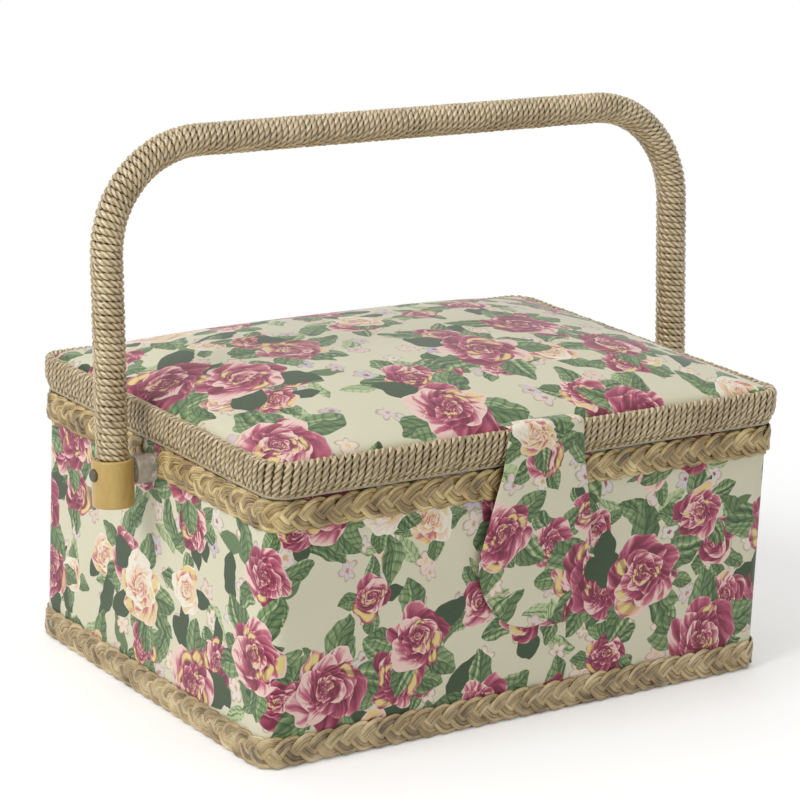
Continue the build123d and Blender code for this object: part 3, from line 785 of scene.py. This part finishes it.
def rounded(places, half_x, half_y, corner):
    """Places in a square from -1 to 1 mapped to a rounded rectangle.

    In a square of the size of the corner, a place (a, b) is drawn towards the round by
    max(a, b) / sqrt(a ** 2 + b ** 2), which makes the square a quarter of a disc.
    """
    half = np.array((half_x, half_y))
    flat = places * half
    past = np.abs(flat) - (half - corner)
    in_corner = (past > 0).all(-1, keepdims=True)
    pull = past.max(-1) / np.maximum(np.hypot(past[..., 0], past[..., 1]), 1e-9)
    return np.where(in_corner, np.sign(flat) * (half - corner + past * pull[..., None]), flat)


# %% Crown of the lid
CROWN_CORNER, TUCK, GLUE = 7.0, 1.5, 0.1
CROWN_SUNK = 0.4  # how far under the rim's top the crown starts
CROWN_PAST = 1.0  # how far outside the cloth's edge the crown would come down to that
LID_PRINT = (2000, 600)  # where in the print the lid's sheet is cut, in millimetres
crown_x, crown_y, _, crown_high = outer_box("lid_cover")
crown_foot = outer_box("rim_wrap")[3] - CROWN_SUNK
board_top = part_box("lid_board")[1][2] / MM


def crown_height(x, y, rise):
    """Height of the crown over its foot, by the formula above."""
    end_x, end_y = crown_x + CROWN_PAST, crown_y + CROWN_PAST
    return rise * (1 - np.abs(x / end_x) ** 4) * (1 - np.abs(y / end_y) ** 3)


places = square(165, 121)
flat = rounded(places, crown_x, crown_y, CROWN_CORNER)
edge = np.abs(places).max(-1) > 0.9999
z = crown_foot + crown_height(flat[..., 0], flat[..., 1], crown_high - crown_foot)
upper, lower = raised(flat, np.where(edge, crown_foot - TUCK, z)), raised(flat, board_top + GLUE)
lid_cloth = slab("lid_cloth", upper, lower, (flat + LID_PRINT) * MM)


# %% Swelling under pressure
SWELL_FRAMES = 20


def swell(piece, pinned, pressure, most):
    """Cloth simulation with pressure: pinned vertices stay, others move at most so many millimetres."""
    group = piece.vertex_groups.new(name="pinned")
    group.add([int(k) for k in np.flatnonzero(pinned)], 1.0, "ADD")
    before = np.zeros(len(piece.data.vertices) * 3)
    piece.data.vertices.foreach_get("co", before)
    cloth = piece.modifiers.new("swell", "CLOTH").settings
    cloth.quality = 5
    cloth.vertex_group_mass = "pinned"
    cloth.use_pressure = True
    cloth.uniform_pressure_force = pressure
    cloth.effector_weights.gravity = 0
    cloth.tension_stiffness = cloth.compression_stiffness = 40
    scene = bpy.context.scene
    for number in range(1, SWELL_FRAMES + 1):
        scene.frame_set(number)
    shown = piece.evaluated_get(bpy.context.evaluated_depsgraph_get()).to_mesh()
    after = np.zeros_like(before)
    shown.vertices.foreach_get("co", after)
    piece.modifiers.clear()
    scene.frame_set(1)
    move = (after - before).reshape(-1, 3)
    length = np.linalg.norm(move, axis=1, keepdims=True)
    move = np.nan_to_num(move) * np.minimum(1, most * MM / np.maximum(np.nan_to_num(length), 1e-9))
    piece.data.vertices.foreach_set("co", before + move.ravel())
    piece.data.update()
    print(f"{piece.name}: the cloth moved by up to {length.max() / MM:.1f} mm, held to {most} mm")


swell(lid_cloth, np.append(edge, np.ones_like(edge)), pressure=1.5, most=0.8)
lid_cloth.data.materials.append(PRINT)
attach(lid_cloth, "lid")
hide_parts("lid_cover", "lid_pad")

# %% [markdown]
# ## The wound rim
#
# A board stands round the lid, and cord is wound over it, turn beside turn. Ridges on a plain band
# would do for a picture from far away, but from near the turns are seen to be round and to lie on
# the board. So the turn is a closed loop in the plane across the board, and it moves on by one
# pitch while it goes round once, which makes the whole winding one cord. At the corners the turns
# fan out, and a little board shows between.
#
# The cord itself is a ring of points carried along a path, and the ring turns as it goes, which
# lays the three plies round one another.

# %% A ring along a path
def unit(vectors):
    """Vectors of length one, pointing the same way."""
    return vectors / np.linalg.norm(vectors, axis=-1, keepdims=True)


def full_turn(count):
    """Even angles once round."""
    return np.linspace(0, 2 * np.pi, count, endpoint=False)


def tube(centre, aside, wide, thick, sides, closed=False, lane=0.0, twist=0.0, groove=1.0):
    """Grid and print coordinates of a cord or straw along a path.

    A ring is centre + r * (wide * cos(b) * aside + thick * sin(b) * (run x aside)), where run is
    the direction of the path, a goes once round, b = a + twist and r = groove + (1 - groove) *
    |sin(1.5 * a)|. So a groove of 1 gives a plain oval, and less gives three plies that turn with
    the twist. The print coordinates are the distance along the cord in metres, and lane plus the
    share of the way round from a groove.
    """
    if closed:
        run = unit(np.roll(centre, -1, 0) - np.roll(centre, 1, 0))
    else:
        run = unit(np.gradient(centre, axis=0))
    aside = unit(aside - run * np.sum(aside * run, -1, keepdims=True))
    across = np.cross(run, aside)
    a = full_turn(sides)
    b = (a + np.broadcast_to(twist, len(centre))[:, None])[..., None]
    r = (groove + (1 - groove) * np.abs(np.sin(1.5 * a)))[None, :, None]
    section = wide * np.cos(b) * aside[:, None] + thick * np.sin(b) * across[:, None]
    grid = centre[:, None] + r * section
    along = far_along(closed_up(centre)) * MM
    if not closed:
        ends = [np.repeat(centre[k:k + 1, None], sides, 1) for k in (0, len(centre) - 1)]
        grid = np.concatenate((ends[0], grid, ends[1]))
        along = np.concatenate((along[:1], along[:-1], along[-2:-1]))
    return grid, pairs(along, lane + np.linspace(0, 1, sides + 1))


def joined(values, steps):
    """Values joined by straight runs of so many steps each, and the last one to the first."""
    at = np.arange(len(values) * steps) / steps
    return np.interp(at, np.arange(len(values) + 1), np.append(values, values[0]))


def drift(turns, steps, amount, seed):
    """Smooth unevenness of a winding: a random value for each turn, joined by straight runs."""
    return joined(np.random.default_rng(seed).uniform(-amount, amount, turns), steps)


# %% Loop of one turn
RIM_CORNER, RIM_PITCH = 13.0, 3.9
CORD_FLAT, CORD_WIDE, RIM_LAY = 0.95, 1.98, 10.0  # half its thickness, half its width, one twist
WRAP_DEPTH, DRAWN_IN, DRAWN_HEIGHT = 5.6, 2.4, 7.0
ROUND_OUT, ROUND_IN, ROUND_UNDER = 2.6, 2.2, 2.0  # the edges of the board that the cord goes round
ROUND = 62  # places in one turn
rim_x, rim_y, rim_low, rim_high = outer_box("rim_wrap")


def alongside(outward):
    """Level directions along a wall from those straight out of it."""
    return raised(np.stack((-outward[:, 1], outward[:, 0]), -1), 0.0)


def evenly(points, count, closed=True):
    """Points spread evenly along a broken line."""
    points = closed_up(points) if closed else points
    far = far_along(points)
    return places_at(points, far, np.linspace(0, far[-1], count, endpoint=not closed))


f = CORD_FLAT
foot = rim_low + DRAWN_HEIGHT
loop = np.concatenate((
    [(-DRAWN_IN - f - 0.1, rim_low + 1.0), (-f - 0.3, foot - 1), (-f, foot + 2)],
    arc(-ROUND_OUT, rim_high - ROUND_OUT, ROUND_OUT - f, 0, 90, 6),
    arc(-WRAP_DEPTH + ROUND_IN, rim_high - ROUND_OUT, ROUND_IN - f, 90, 180, 5),
    [(-WRAP_DEPTH + f, rim_low + 2.6)],
    arc(-WRAP_DEPTH + ROUND_UNDER, rim_low + ROUND_UNDER, ROUND_UNDER / 2, 180, 300, 4),
))
print(f"one turn of the rim: {far_along(closed_up(loop))[-1]:.1f} mm")

# %% The winding
FAN, CORNER_LOSS = 1.22, 2  # how much the turns spread at the corners, and how many that saves
turns = int(round(walk(rim_x, rim_y, RIM_CORNER, 8)[2][-1] / RIM_PITCH)) - CORNER_LOSS
place, outward, _ = walk(rim_x, rim_y, RIM_CORNER, turns * ROUND, stretch=FAN)
out, z = np.tile(evenly(loop, ROUND), (turns, 1)).T
# Wound by hand, the turns are a little uneven in and out, along the rim and in their twist
out = out + drift(turns, ROUND, 0.12, seed=1)
tangent = alongside(outward)
centre = raised(place + outward * out[:, None], z)
centre = centre + tangent * drift(turns, ROUND, 0.22, seed=2)[:, None]
share = np.arange(len(centre)) / len(centre)
cord_length = np.linalg.norm(np.diff(centre, axis=0), axis=1).sum()
twist = 2 * np.pi * round(cord_length / RIM_LAY) * share + drift(turns, ROUND, 1.6, seed=3)
grid, cloth = tube(centre, tangent, CORD_WIDE, CORD_FLAT, 6, closed=True, twist=twist, groove=0.72)
rim_cord = surface("rim_cord", grid, (True, True), cloth)
rim_cord.data.materials.append(RIM_CORD)
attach(rim_cord, "lid")
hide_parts("rim_wrap")
print(f"rim: {turns} turns, {cord_length * MM:.1f} m of cord")

# %% [markdown]
# Under the winding a single plain cord runs all the way round and finishes its lower edge. It is
# the same ring along a path, with no plies.

# %% Edge cord of the rim
EDGE_OUT, EDGE_UP, EDGE_HALF = -3.1, 0.7, 0.68
place, outward, _ = walk(rim_x, rim_y, RIM_CORNER, 620)
centre = raised(place + outward * EDGE_OUT, rim_low + EDGE_UP)
grid, cloth = tube(centre, raised(outward, 0.0), EDGE_HALF - 0.1, EDGE_HALF, 8, closed=True)
rim_edge = surface("rim_edge", grid, (True, True), cloth)
rim_edge.data.materials.append(EDGE_CORD)
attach(rim_edge, "lid")
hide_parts("rim_wrap")

# %% [markdown]
# ## Straw plaits
#
# Flat plaits of straw run round the foot and the top of the walls. A woven pattern on a strip
# would have straight edges, but a plait has a scalloped edge with small gaps, so every straw is a
# piece of mesh. The plait has three strands: each swings from edge to edge as a sine, a third of a
# turn after the one before, and rises and dips twice as often, so it goes over one neighbour and
# under the other. Each strand is three straws side by side, no two of them quite alike.

# %% Plait
PLAIT_STEP, STRAWS, STRAW_STEP, STRAW_HALF = 28.0, 3, 2.1, 1.36
PLAIT_PLACES, WANDER_STEPS = 1100, 10  # places round the box, and places between two random values
# Three rows of random values for each of up to twelve straws
luck = np.random.default_rng(7).uniform(-1, 1, (3, 12, PLAIT_PLACES // WANDER_STEPS))
wander_aside, wander_out, wander_wide = [[joined(row, WANDER_STEPS) for row in rows] for rows in luck]


def plait(low, high, half_x, half_y, corner, depth, keep=None):
    """Grids of all straws of a plait round the box between two heights, depth thick.

    At distance t * step / (2 * pi) round the box a strand is at height middle + swing * s *
    (1.7 - s ** 2 + 0.3 * s ** 4), where s = sin(t), and stands out by 0.26 * depth *
    sin(2 * t + 0.3). Its straws lie beside it and wander a little. keep says which places an open
    plait has.
    """
    place, outward, far = walk(half_x, half_y, corner, PLAIT_PLACES)
    total = far[-1]
    phase = far[:-1] / total * 2 * np.pi * round(total / PLAIT_STEP)
    swing = (high - low) / 2 - (STRAWS - 1) / 2 * STRAW_STEP - STRAW_HALF
    along, flat_out = alongside(outward), raised(outward, 0.0)
    chosen = slice(None)
    if keep is not None:
        inside = keep(place)
        start = int(np.flatnonzero(inside & ~np.roll(inside, 1))[0])
        chosen = (start + np.arange(int(inside.sum()))) % len(place)
    grids, cloths = [], []
    for strand in range(3):
        turn = phase + 2 * np.pi * strand / 3
        s = np.sin(turn)
        height = (low + high) / 2 + swing * s * (1.7 - s**2 + 0.3 * s**4)
        stand = 0.26 * depth * np.sin(2 * turn + 0.3)
        middle = raised(place, height) + flat_out * (-depth / 2 + stand)[:, None]
        middle = middle + along * (0.9 * np.sin(2 * turn))[:, None]
        run = unit(np.roll(middle, -1, 0) - np.roll(middle, 1, 0))
        across = np.cross(run, flat_out)
        for straw in range(STRAWS):
            number = strand * STRAWS + straw
            aside = (straw - (STRAWS - 1) / 2) * STRAW_STEP + 0.3 * wander_aside[number]
            up = 0.07 * depth * wander_out[number] - 0.05 * depth * (aside / STRAW_STEP) ** 2
            line = (middle + across * aside[:, None] + flat_out * up[:, None])[chosen]
            wide = STRAW_HALF * (1 + 0.12 * wander_wide[number][chosen])[:, None, None]
            grid, cloth = tube(line, across[chosen], wide, 0.25 * depth, 6, keep is None, number)
            grids.append(grid)
            cloths.append(cloth)
    return np.stack(grids), np.stack(cloths)


# %% The three plaits
OPEN_HALF, TABLE_GAP = 7.7, 0.05  # half the opening at a handle spacer, and least height over the table
for name, node_name, straw, keep, lower, lift in (
    ("base_plait", "base_braid", BASE_STRAW, None, 0.1, 0.5),
    ("front_plait", "upper_braid_front", STRAW, lambda p: p[:, 1] < -OPEN_HALF, 0.0, 0.6),
    ("back_plait", "upper_braid_back", STRAW, lambda p: p[:, 1] > OPEN_HALF, 0.0, 0.6),
):
    edge_x, _, low, high = outer_box(node_name)
    low, high = low - lower, high + lift
    thick = edge_x - wall_x
    grid, cloth = plait(low, high, edge_x, wall_y + thick, BODY_CORNER + thick, thick, keep)
    grid[..., 2] = np.maximum(grid[..., 2], TABLE_GAP)  # the table presses the lowest straws flat
    made = surface(name, grid, (keep is None, True), cloth, weld=keep is not None)
    made.data.materials.append(straw)
    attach(made, "box")
    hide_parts(node_name)

# %% [markdown]
# ## The wound handle
#
# The handle is a tube bent into a bail and wound with cord, about a hundred and eighty turns of
# it. The turns could be rings set side by side, but on a real handle each leads on to the next, so
# the cord is one helix. The centre line is two straight legs, two quarter circles and the top bar,
# and the cord goes round it at an even pitch, so the turns fan out on the outside of the bends. A
# place of the cord is the place of the tube, plus the radius times cos(t) outwards and sin(t)
# backwards.

# %% Line of the bail
PIVOT_Z, GRIP_HALF, GRIP_RISE, GRIP_CORNER = 115.6, 167.3, 152.1, 50.0
LEAN = np.radians(5.5)
CORD_START = 5.0  # from the pivot to the first turn, inside the cap


def bail(count):
    """Evenly spaced places along the bail in its own plane, and the directions out of the bend."""
    turn = np.linspace(0, np.pi / 2, 60)
    r, w, h = GRIP_CORNER, GRIP_HALF, GRIP_RISE
    left = np.stack((-w + r - r * np.cos(turn), h - r + r * np.sin(turn)), -1)
    right = np.stack((w - r + r * np.sin(turn), h - r + r * np.cos(turn)), -1)
    line = np.concatenate(([(-w, CORD_START)], left, right, [(w, CORD_START)]))
    angle = np.concatenate(([np.pi], np.pi - turn, np.pi / 2 - turn, [0]))
    far = far_along(line)
    at = np.linspace(0, far[-1], count)
    return places_at(line, far, at), np.interp(at, far, angle), far[-1]


# %% Cord of the handle
HANDLE_RADIUS, HANDLE_PITCH, TURN_STEPS = 7.9, 3.3, 66
CORD_DEEP, CORD_ALONG, HANDLE_LAY = 1.45, 1.84, 9.0  # half its thickness, half its width, one twist
bail_length = bail(2)[2]
coils = int(round(bail_length / HANDLE_PITCH))
spot, angle, _ = bail(coils * TURN_STEPS)
upward = np.array((0, np.sin(LEAN), np.cos(LEAN)))
across_x, backward = np.array((1.0, 0, 0)), np.array((0, np.cos(LEAN), -np.sin(LEAN)))
centre = np.array((0, 0, PIVOT_Z)) + spot[:, :1] * across_x + spot[:, 1:] * upward
out = np.cos(angle)[:, None] * across_x + np.sin(angle)[:, None] * upward
way = np.linspace(0, 2 * np.pi * coils, len(spot))[:, None]
spoke = np.cos(way) * out + np.sin(way) * backward
ahead = unit(np.gradient(centre, axis=0))
reach = HANDLE_RADIUS - CORD_DEEP + drift(coils, TURN_STEPS, 0.1, seed=4)[:, None]
cord_line = centre + spoke * reach + ahead * drift(coils, TURN_STEPS, 0.16, seed=5)[:, None]
wound = far_along(cord_line)
twist = 2 * np.pi / HANDLE_LAY * wound + drift(coils, TURN_STEPS, 1.4, seed=6)
grid, cloth = tube(cord_line, spoke, CORD_DEEP, CORD_ALONG, 6, twist=twist, groove=0.78)
handle_cord = surface("handle_cord", grid, (False, True), cloth, weld=True)
handle_cord.data.materials.append(HANDLE_CORD)
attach(handle_cord, "handle")
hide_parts("handle_wrap", "handle_turns_left", "handle_turns_right")
print(f"handle: {coils} turns over {bail_length:.0f} mm, {wound[-1] * MM:.1f} m of cord")

# %% [markdown]
# ## The closing tab
#
# The tab is sewn from two layers of the print round a stiffener, and it comes out from under the
# padded top, folds over the rim and hangs down to a magnet in the wall. It could be two flat sheets
# with a gap between, but then its edge would look cut, not sewn. So it is one closed form: a flat
# oval section carried down a bent line, as wide at each depth as the tab is there. A side of the
# oval is a power of a cosine or sine, which is squarer than an ellipse for a power below 1.

# %% Line of the tab
TAB_THICK, TAB_LENGTH, TAB_WIDE_DROP = 2.2, 100.0, 61.0
FOLD_Y, FOLD_Z, FOLD_ROUND = -111.5, 147.7, 1.6
MAGNET_Y, TIP_Y = -107.9, -107.7  # where the tab lies against the wall
TAB_DROPS = (-3.0, 0.0, 20.0, 39.0, TAB_WIDE_DROP)
TAB_HALVES = (21.5, 21.5, 24.0, 28.5, 33.0)
root_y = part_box("tab_root")[1][1] / MM
side_line = np.concatenate((
    [(root_y + 3, FOLD_Z - 1.2), (root_y, FOLD_Z - 0.2), (FOLD_Y + 2.5, FOLD_Z)],
    arc(FOLD_Y + FOLD_ROUND, FOLD_Z - FOLD_ROUND, FOLD_ROUND, 90, 180, 5),
    [(FOLD_Y, rim_high - 21), (FOLD_Y + 1.2, rim_high - 45)],
    [(MAGNET_Y, rim_high - 70), (TIP_Y, rim_high - TAB_LENGTH + 0.3)],
))
line = evenly(side_line, 90, closed=False)
drop = rim_high - line[:, 1]
half = np.interp(drop, TAB_DROPS, TAB_HALVES)
lower = np.clip((drop - TAB_WIDE_DROP) / (TAB_LENGTH - TAB_WIDE_DROP), 0, 0.9995)
half = np.where(drop > TAB_WIDE_DROP, TAB_HALVES[-1] * np.sqrt(1 - lower**2), half)
far = far_along(line)
print(f"tab: {far[-1]:.0f} mm of cloth over the fold, {2 * half.max():.0f} mm wide")


# %% Cloth of the tab
TAB_SIDES, BACK_SHIFT = 48, 90.0  # places round the section, and how far off its back is printed
TAB_PRINT = (1000, 300)  # where in the print the tab is cut, in millimetres


def squared(value, power):
    """Power of a number that keeps its sign."""
    return np.sign(value) * np.abs(value) ** power


a = full_turn(TAB_SIDES)
oval_x, oval_y = squared(np.cos(a), 0.55), squared(np.sin(a), 0.9)
run = unit(np.gradient(line, axis=0))
thick = (TAB_THICK / 2 * np.minimum(1, half / 4))[:, None]
y = line[:, :1] + run[:, 1:] * thick * oval_y
z = line[:, 1:] - run[:, :1] * thick * oval_y
grid = np.stack((half[:, None] * oval_x, y, z), -1)
wrapped = np.append(a, 2 * np.pi)
sided = np.where(np.sin(wrapped) < 0, 0.0, BACK_SHIFT)
cloth_x = half[:, None] * np.append(oval_x, 1.0) + TAB_PRINT[0] + sided
cloth_y = np.repeat(-far[:, None] + TAB_PRINT[1], len(wrapped), 1)
cloth = np.stack((cloth_x, cloth_y), -1) * MM
ends = [grid[k][None].mean(1, keepdims=True).repeat(TAB_SIDES, 1) for k in (0, -1)]
grid = np.concatenate((ends[0], grid, ends[1]))
cloth = np.concatenate((cloth[:1], cloth, cloth[-1:]))
tab_cloth = surface("tab_cloth", grid, (False, True), cloth, weld=True)
tab_cloth.data.materials.append(PRINT)
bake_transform(tab_cloth)
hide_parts("closure_tab", "tab_root")

# %% [markdown]
# ## Linings and the pin cushion
#
# Inside, the walls, the floor and the lid are lined with satin quilted in diamonds, and a small
# stuffed cushion for pins is sewn under the lid. Bump alone could draw the diamonds, but not their
# soft outline at the walls' top edge, so the quilting is relief in the mesh: the height is the
# square root of the product of two sines set at right angles. The satin reads the same lines from
# its cloth coordinates, and has painted shade along them, where it is sewn down and dips.

# %% Quilted satin
QUILT_STEP = 22.0  # between two sewn lines, measured along the sheet's edge, in millimetres


def make_quilted():
    """Satin with painted shade along the two sets of sewn lines of its quilting, where it dips."""
    made, tree, shader, place, cloth = material("quilted satin")
    along, across = parts(tree, cloth)
    turns = np.pi / (QUILT_STEP * MM)
    sewn = abs(((along + across) * turns).sine()).do("MINIMUM", abs(((along - across) * turns).sine()))
    grain = noise(tree, place, 900.0)
    # Painted shade: darkest along the sewn lines, where the quilting dips, and lighter on the puffs
    tone = sewn.rise(0.0, 0.22, 0.0, 0.6) + grain * 0.5
    stops = (0.2, linear(176, 151, 118)), (0.5, linear(206, 184, 152)), (0.95, linear(232, 213, 184))
    feed(tree, shader.inputs["Base Color"], ramp(tree, tone, *stops))
    feed(tree, shader.inputs["Roughness"], grain.rise(0.3, 0.7, 0.36, 0.48))
    shader.inputs["Sheen Weight"].default_value = 0.5
    bump(tree, shader, sewn ** 0.5 + grain * 0.04, 0.8, 0.0008)
    return made


QUILTED = make_quilted()


# %% Quilted sheets
QUILT_HEIGHT, FACE_DEPTH = 0.5, 0.6  # rise of a diamond, and depth of the sewn lines under the face
SHEET_PLAY, SHEET_CORNER = 0.2, 4.0  # how much smaller a flat lining is cut, and its corners


def quilt(a, b):
    """Height of the quilting at a place: low along two sets of sewn lines."""
    first, second = (a + b) * np.pi / QUILT_STEP, (a - b) * np.pi / QUILT_STEP
    return QUILT_HEIGHT * np.sqrt(np.abs(np.sin(first) * np.sin(second)))


def flat_quilt(name, node_name, body, top):
    """Quilted sheet in place of a flat lining: soft on one face, plain on the other."""
    half_x, half_y, low, high = outer_box(node_name)
    flat = rounded(square(150, 110), half_x - SHEET_PLAY, half_y - SHEET_PLAY, SHEET_CORNER)
    near, back, side = (high - FACE_DEPTH, low, 1) if top else (low + FACE_DEPTH, high, -1)
    soft = near + side * quilt(flat[..., 0], flat[..., 1])
    piece = slab(name, raised(flat, soft), raised(flat, back), flat * MM)
    piece.data.materials.append(QUILTED)
    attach(piece, body)
    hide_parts(node_name)


flat_quilt("floor_quilt", "lining_floor", "box", True)
flat_quilt("lid_quilt", "lid_lining", "lid", False)

# %% Quilted walls
WALL_PLAY, WALL_CORNER = 0.05, 5.2
half_x, half_y, low, high = outer_box("lining_sides")
up_wall = np.linspace(low, high, 60)
place, outward, far = walk(half_x - WALL_PLAY, half_y - WALL_PLAY, WALL_CORNER, 420)
soft = quilt(far[:-1, None], up_wall[None, :])
inner = place[:, None] - outward[:, None] * (FACE_DEPTH + soft)[..., None]
outer = np.broadcast_to(place[:, None], inner.shape)
grid = np.concatenate((raised(inner, up_wall), raised(outer, up_wall)[:, ::-1]), 1)
up_and_down = np.concatenate((up_wall, up_wall[::-1], up_wall[:1]))
cloth = pairs(far, up_and_down) * MM
side_quilt = surface("side_quilt", grid, (True, True), cloth)
side_quilt.data.materials.append(QUILTED)
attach(side_quilt, "box")
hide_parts("lining_sides")

# %% [markdown]
# The cushion is satin with a soft filling. A ball squared in the same way as the tab's section has
# the right bulge. It is flat where it is sewn to the lid, and a tuft draws it in at the middle.

# %% Cushion
CUSHION_SIDES, SEWN, CUSHION_POWER = 96, np.radians(70), 0.6  # SEWN: how far round the ball it is cut
TUFT_DEEP, TUFT_WIDE = 1.6, 0.02
half_x, half_y, low, high = outer_box("pin_cushion")
level = np.linspace(-SEWN, np.pi / 2, 26)
ring = squared(direction(full_turn(CUSHION_SIDES)), CUSHION_POWER) * (half_x, half_y)
size = np.cos(level) ** CUSHION_POWER
deep = (high + low) / 2 - 0.5 * (high - low) * np.sin(level) / np.where(level < 0, np.sin(SEWN), 1)
tuft = TUFT_DEEP * np.exp(-(size**2) / TUFT_WIDE)
grid = raised(size[:, None, None] * ring, (deep + tuft)[:, None])
grid = np.concatenate(((0 * grid[:1] + [0, 0, grid[0, 0, 2]]), grid))
cushion = surface("stuffed_cushion", grid, (False, True), weld=True)
cushion.data.materials.append(SATIN)
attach(cushion, "lid")
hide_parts("pin_cushion")

# %% [markdown]
# ## Pieces that keep their shape
#
# The boards, the tray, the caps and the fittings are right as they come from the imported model.
# They could be made again as finer meshes, but nothing would be gained, so they only get their
# finish. The plain forms that the cloth, cords and plaits replace get the finish of what replaces
# them, so that every node has one.

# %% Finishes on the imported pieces
FINISHES = {
    CAP: ("handle_cap_left", "handle_cap_right"),
    CLEAR: ("pivot_spacer_left", "pivot_spacer_right"),
    BRONZE: ("pivot_pin_left", "pivot_pin_right"),
    BOARD: ("bottom_board", "side_board", "lid_board"),
    RIM_BOARD: ("rim_band",),
    WOOD: ("tray_ledge_left", "tray_ledge_right"),
    TRAY_PLASTIC: ("tray",),
    TUBE: ("handle_core",),
    STEEL: (
        "catch_plate", "tab_magnet", "pivot_washer_left", "pivot_washer_right", "hinge_leaf_body_left",
        "hinge_leaf_body_right", "hinge_leaf_lid_left", "hinge_leaf_lid_right", "hinge_pin_left",
        "hinge_pin_right", "hinge_rivets_body", "hinge_rivets_lid",
    ),
    PRINT: ("cover_fabric", "lid_cover", "closure_tab", "tab_root"),
    FOAM: ("lid_pad",),
    SATIN: ("lining_floor", "lining_sides", "lid_lining", "pin_cushion"),
    STRAW: ("base_braid", "upper_braid_front", "upper_braid_back"),
    RIM_CORD: ("rim_wrap",),
    HANDLE_CORD: ("handle_wrap", "handle_turns_left", "handle_turns_right"),
}
for finish, names in FINISHES.items():
    for name in names:
        nodes[name].data.materials.clear()
        nodes[name].data.materials.append(finish)
print("nodes with a finish:", sum(len(names) for names in FINISHES.values()))

# %% [markdown]
# ## Floor, light and camera
#
# The box stands on a pale floor in soft studio light: a large lamp from the upper left, a weaker
# one in front, one above and an even light from all round. A picture of a room could light it too,
# but lamps give soft shadows that can be set one by one. The floor is white further away, so that
# no horizon shows. The camera stands to the left of the front, far away with a long lens, as in a
# catalogue picture.

# %% Floor
FLOOR_LIFT, FLOOR_REACH = 0.22, 4000.0
FADE_START, FADE_END = 0.26, 0.5  # distances in metres between which the floor turns white


def seen_directly(tree):
    """One for what the camera sees, straight, in a gloss or through something clear, and else none."""
    path = tree.nodes.new("ShaderNodeLightPath")
    seen = Value(tree, path.outputs["Is Camera Ray"]).do("MAXIMUM", path.outputs["Is Glossy Ray"])
    return seen.do("MAXIMUM", path.outputs["Is Transmission Ray"])


def make_floor():
    """Pale floor that keeps the shadow of the box and is plain white further away."""
    made, tree, shader, place, _ = material("pale floor")
    spots = noise(tree, place, 6.0)
    colour = mixed(tree, spots, linear(246, 246, 245), linear(250, 250, 249))
    feed(tree, shader.inputs["Base Color"], colour)
    shader.inputs["Roughness"].default_value = 0.8
    seen = seen_directly(tree)
    shader.inputs["Emission Color"].default_value = (1, 1, 1, 1)
    feed(tree, shader.inputs["Emission Strength"], seen * FLOOR_LIFT)
    away = length_of(tree, place)
    white = node(tree, "Emission", Color=(1, 1, 1, 1), Strength=1.0)
    blend = tree.nodes.new("ShaderNodeMixShader")
    feed(tree, blend.inputs[0], away.rise(FADE_START, FADE_END) * seen)
    tree.links.new(shader.outputs[0], blend.inputs[1])
    tree.links.new(white, blend.inputs[2])
    tree.links.new(blend.outputs[0], tree.nodes["Material Output"].inputs[0])
    return made


floor = surface("floor", raised(square(2, 2) * FLOOR_REACH, 0.0), facing=(0, 0, 1))
floor.data.materials.append(make_floor())

# %% Light from all round
WORLD_LIGHT = 0.42
world = bpy.data.worlds.new("studio")
bpy.context.scene.world = world
world.use_nodes = True
tree = world.node_tree
background = tree.nodes["Background"]
background.inputs["Color"].default_value = (1, 1, 1, 1)
feed(tree, background.inputs["Strength"], seen_directly(tree).line(1 - WORLD_LIGHT, WORLD_LIGHT))


# %% Lamps
LIT = (0, 0, 0.1)  # the place in the box that all lamps shine at


def stand(name, data, place, right, upright, ahead):
    """Puts a lamp or a camera at a place, with these three directions."""
    made = bpy.data.objects.new(name, data)
    bpy.context.scene.collection.objects.link(made)
    turn = np.eye(4)
    turn[:3] = np.stack((right, upright, -ahead, place), -1)
    made.matrix_world = Matrix(turn.tolist())
    return made


def lamp(name, place, size, power):
    """Square lamp at a place, in metres and watts, that shines at the box."""
    light = bpy.data.lights.new(name, "AREA")
    light.size, light.energy = size, power
    ahead = unit(np.array(LIT) - np.array(place))
    right = unit(np.cross(ahead, (0, 0, 1)))
    stand(name, light, place, right, np.cross(right, ahead), ahead)


lamp("key lamp", (-1.7, -0.2, 1.5), 1.0, 25)
lamp("front lamp", (0.7, -2.0, 1.0), 1.4, 3.5)
lamp("top lamp", (0.2, 0.6, 2.2), 1.6, 10)

# %% [markdown]
# The camera could be set by eye. Here its place and turns were fitted to the edges of the box in a
# picture 800 points wide, so that a render can be laid over it.

# %% Camera
SENSOR, PICTURE = 36, 800  # millimetres and points across
FOCUS, YAW, PITCH, ROLL = 3083.4, np.radians(35.09), np.radians(15.44), np.radians(2.60)
camera_place = np.array((-0.8490, -1.2002, 0.5365))
ahead = np.array((np.sin(YAW) * np.cos(PITCH), np.cos(YAW) * np.cos(PITCH), -np.sin(PITCH)))
level_right = np.array((np.cos(YAW), -np.sin(YAW), 0))
level_up = np.cross(level_right, ahead)
right = level_right * np.cos(ROLL) + level_up * np.sin(ROLL)
upright = -level_right * np.sin(ROLL) + level_up * np.cos(ROLL)
lens = bpy.data.cameras.new("camera")
lens.sensor_width = SENSOR
lens.lens = SENSOR * FOCUS / PICTURE
lens.clip_end = 20
bpy.context.scene.camera = stand("camera", lens, camera_place, right, upright, ahead)
bpy.context.scene.view_settings.view_transform = "Standard"
print(f"camera: {np.linalg.norm(camera_place):.2f} m away, lens of {lens.lens:.0f} mm")

# %% Bounds of the imported model
low, high = cad_bounds
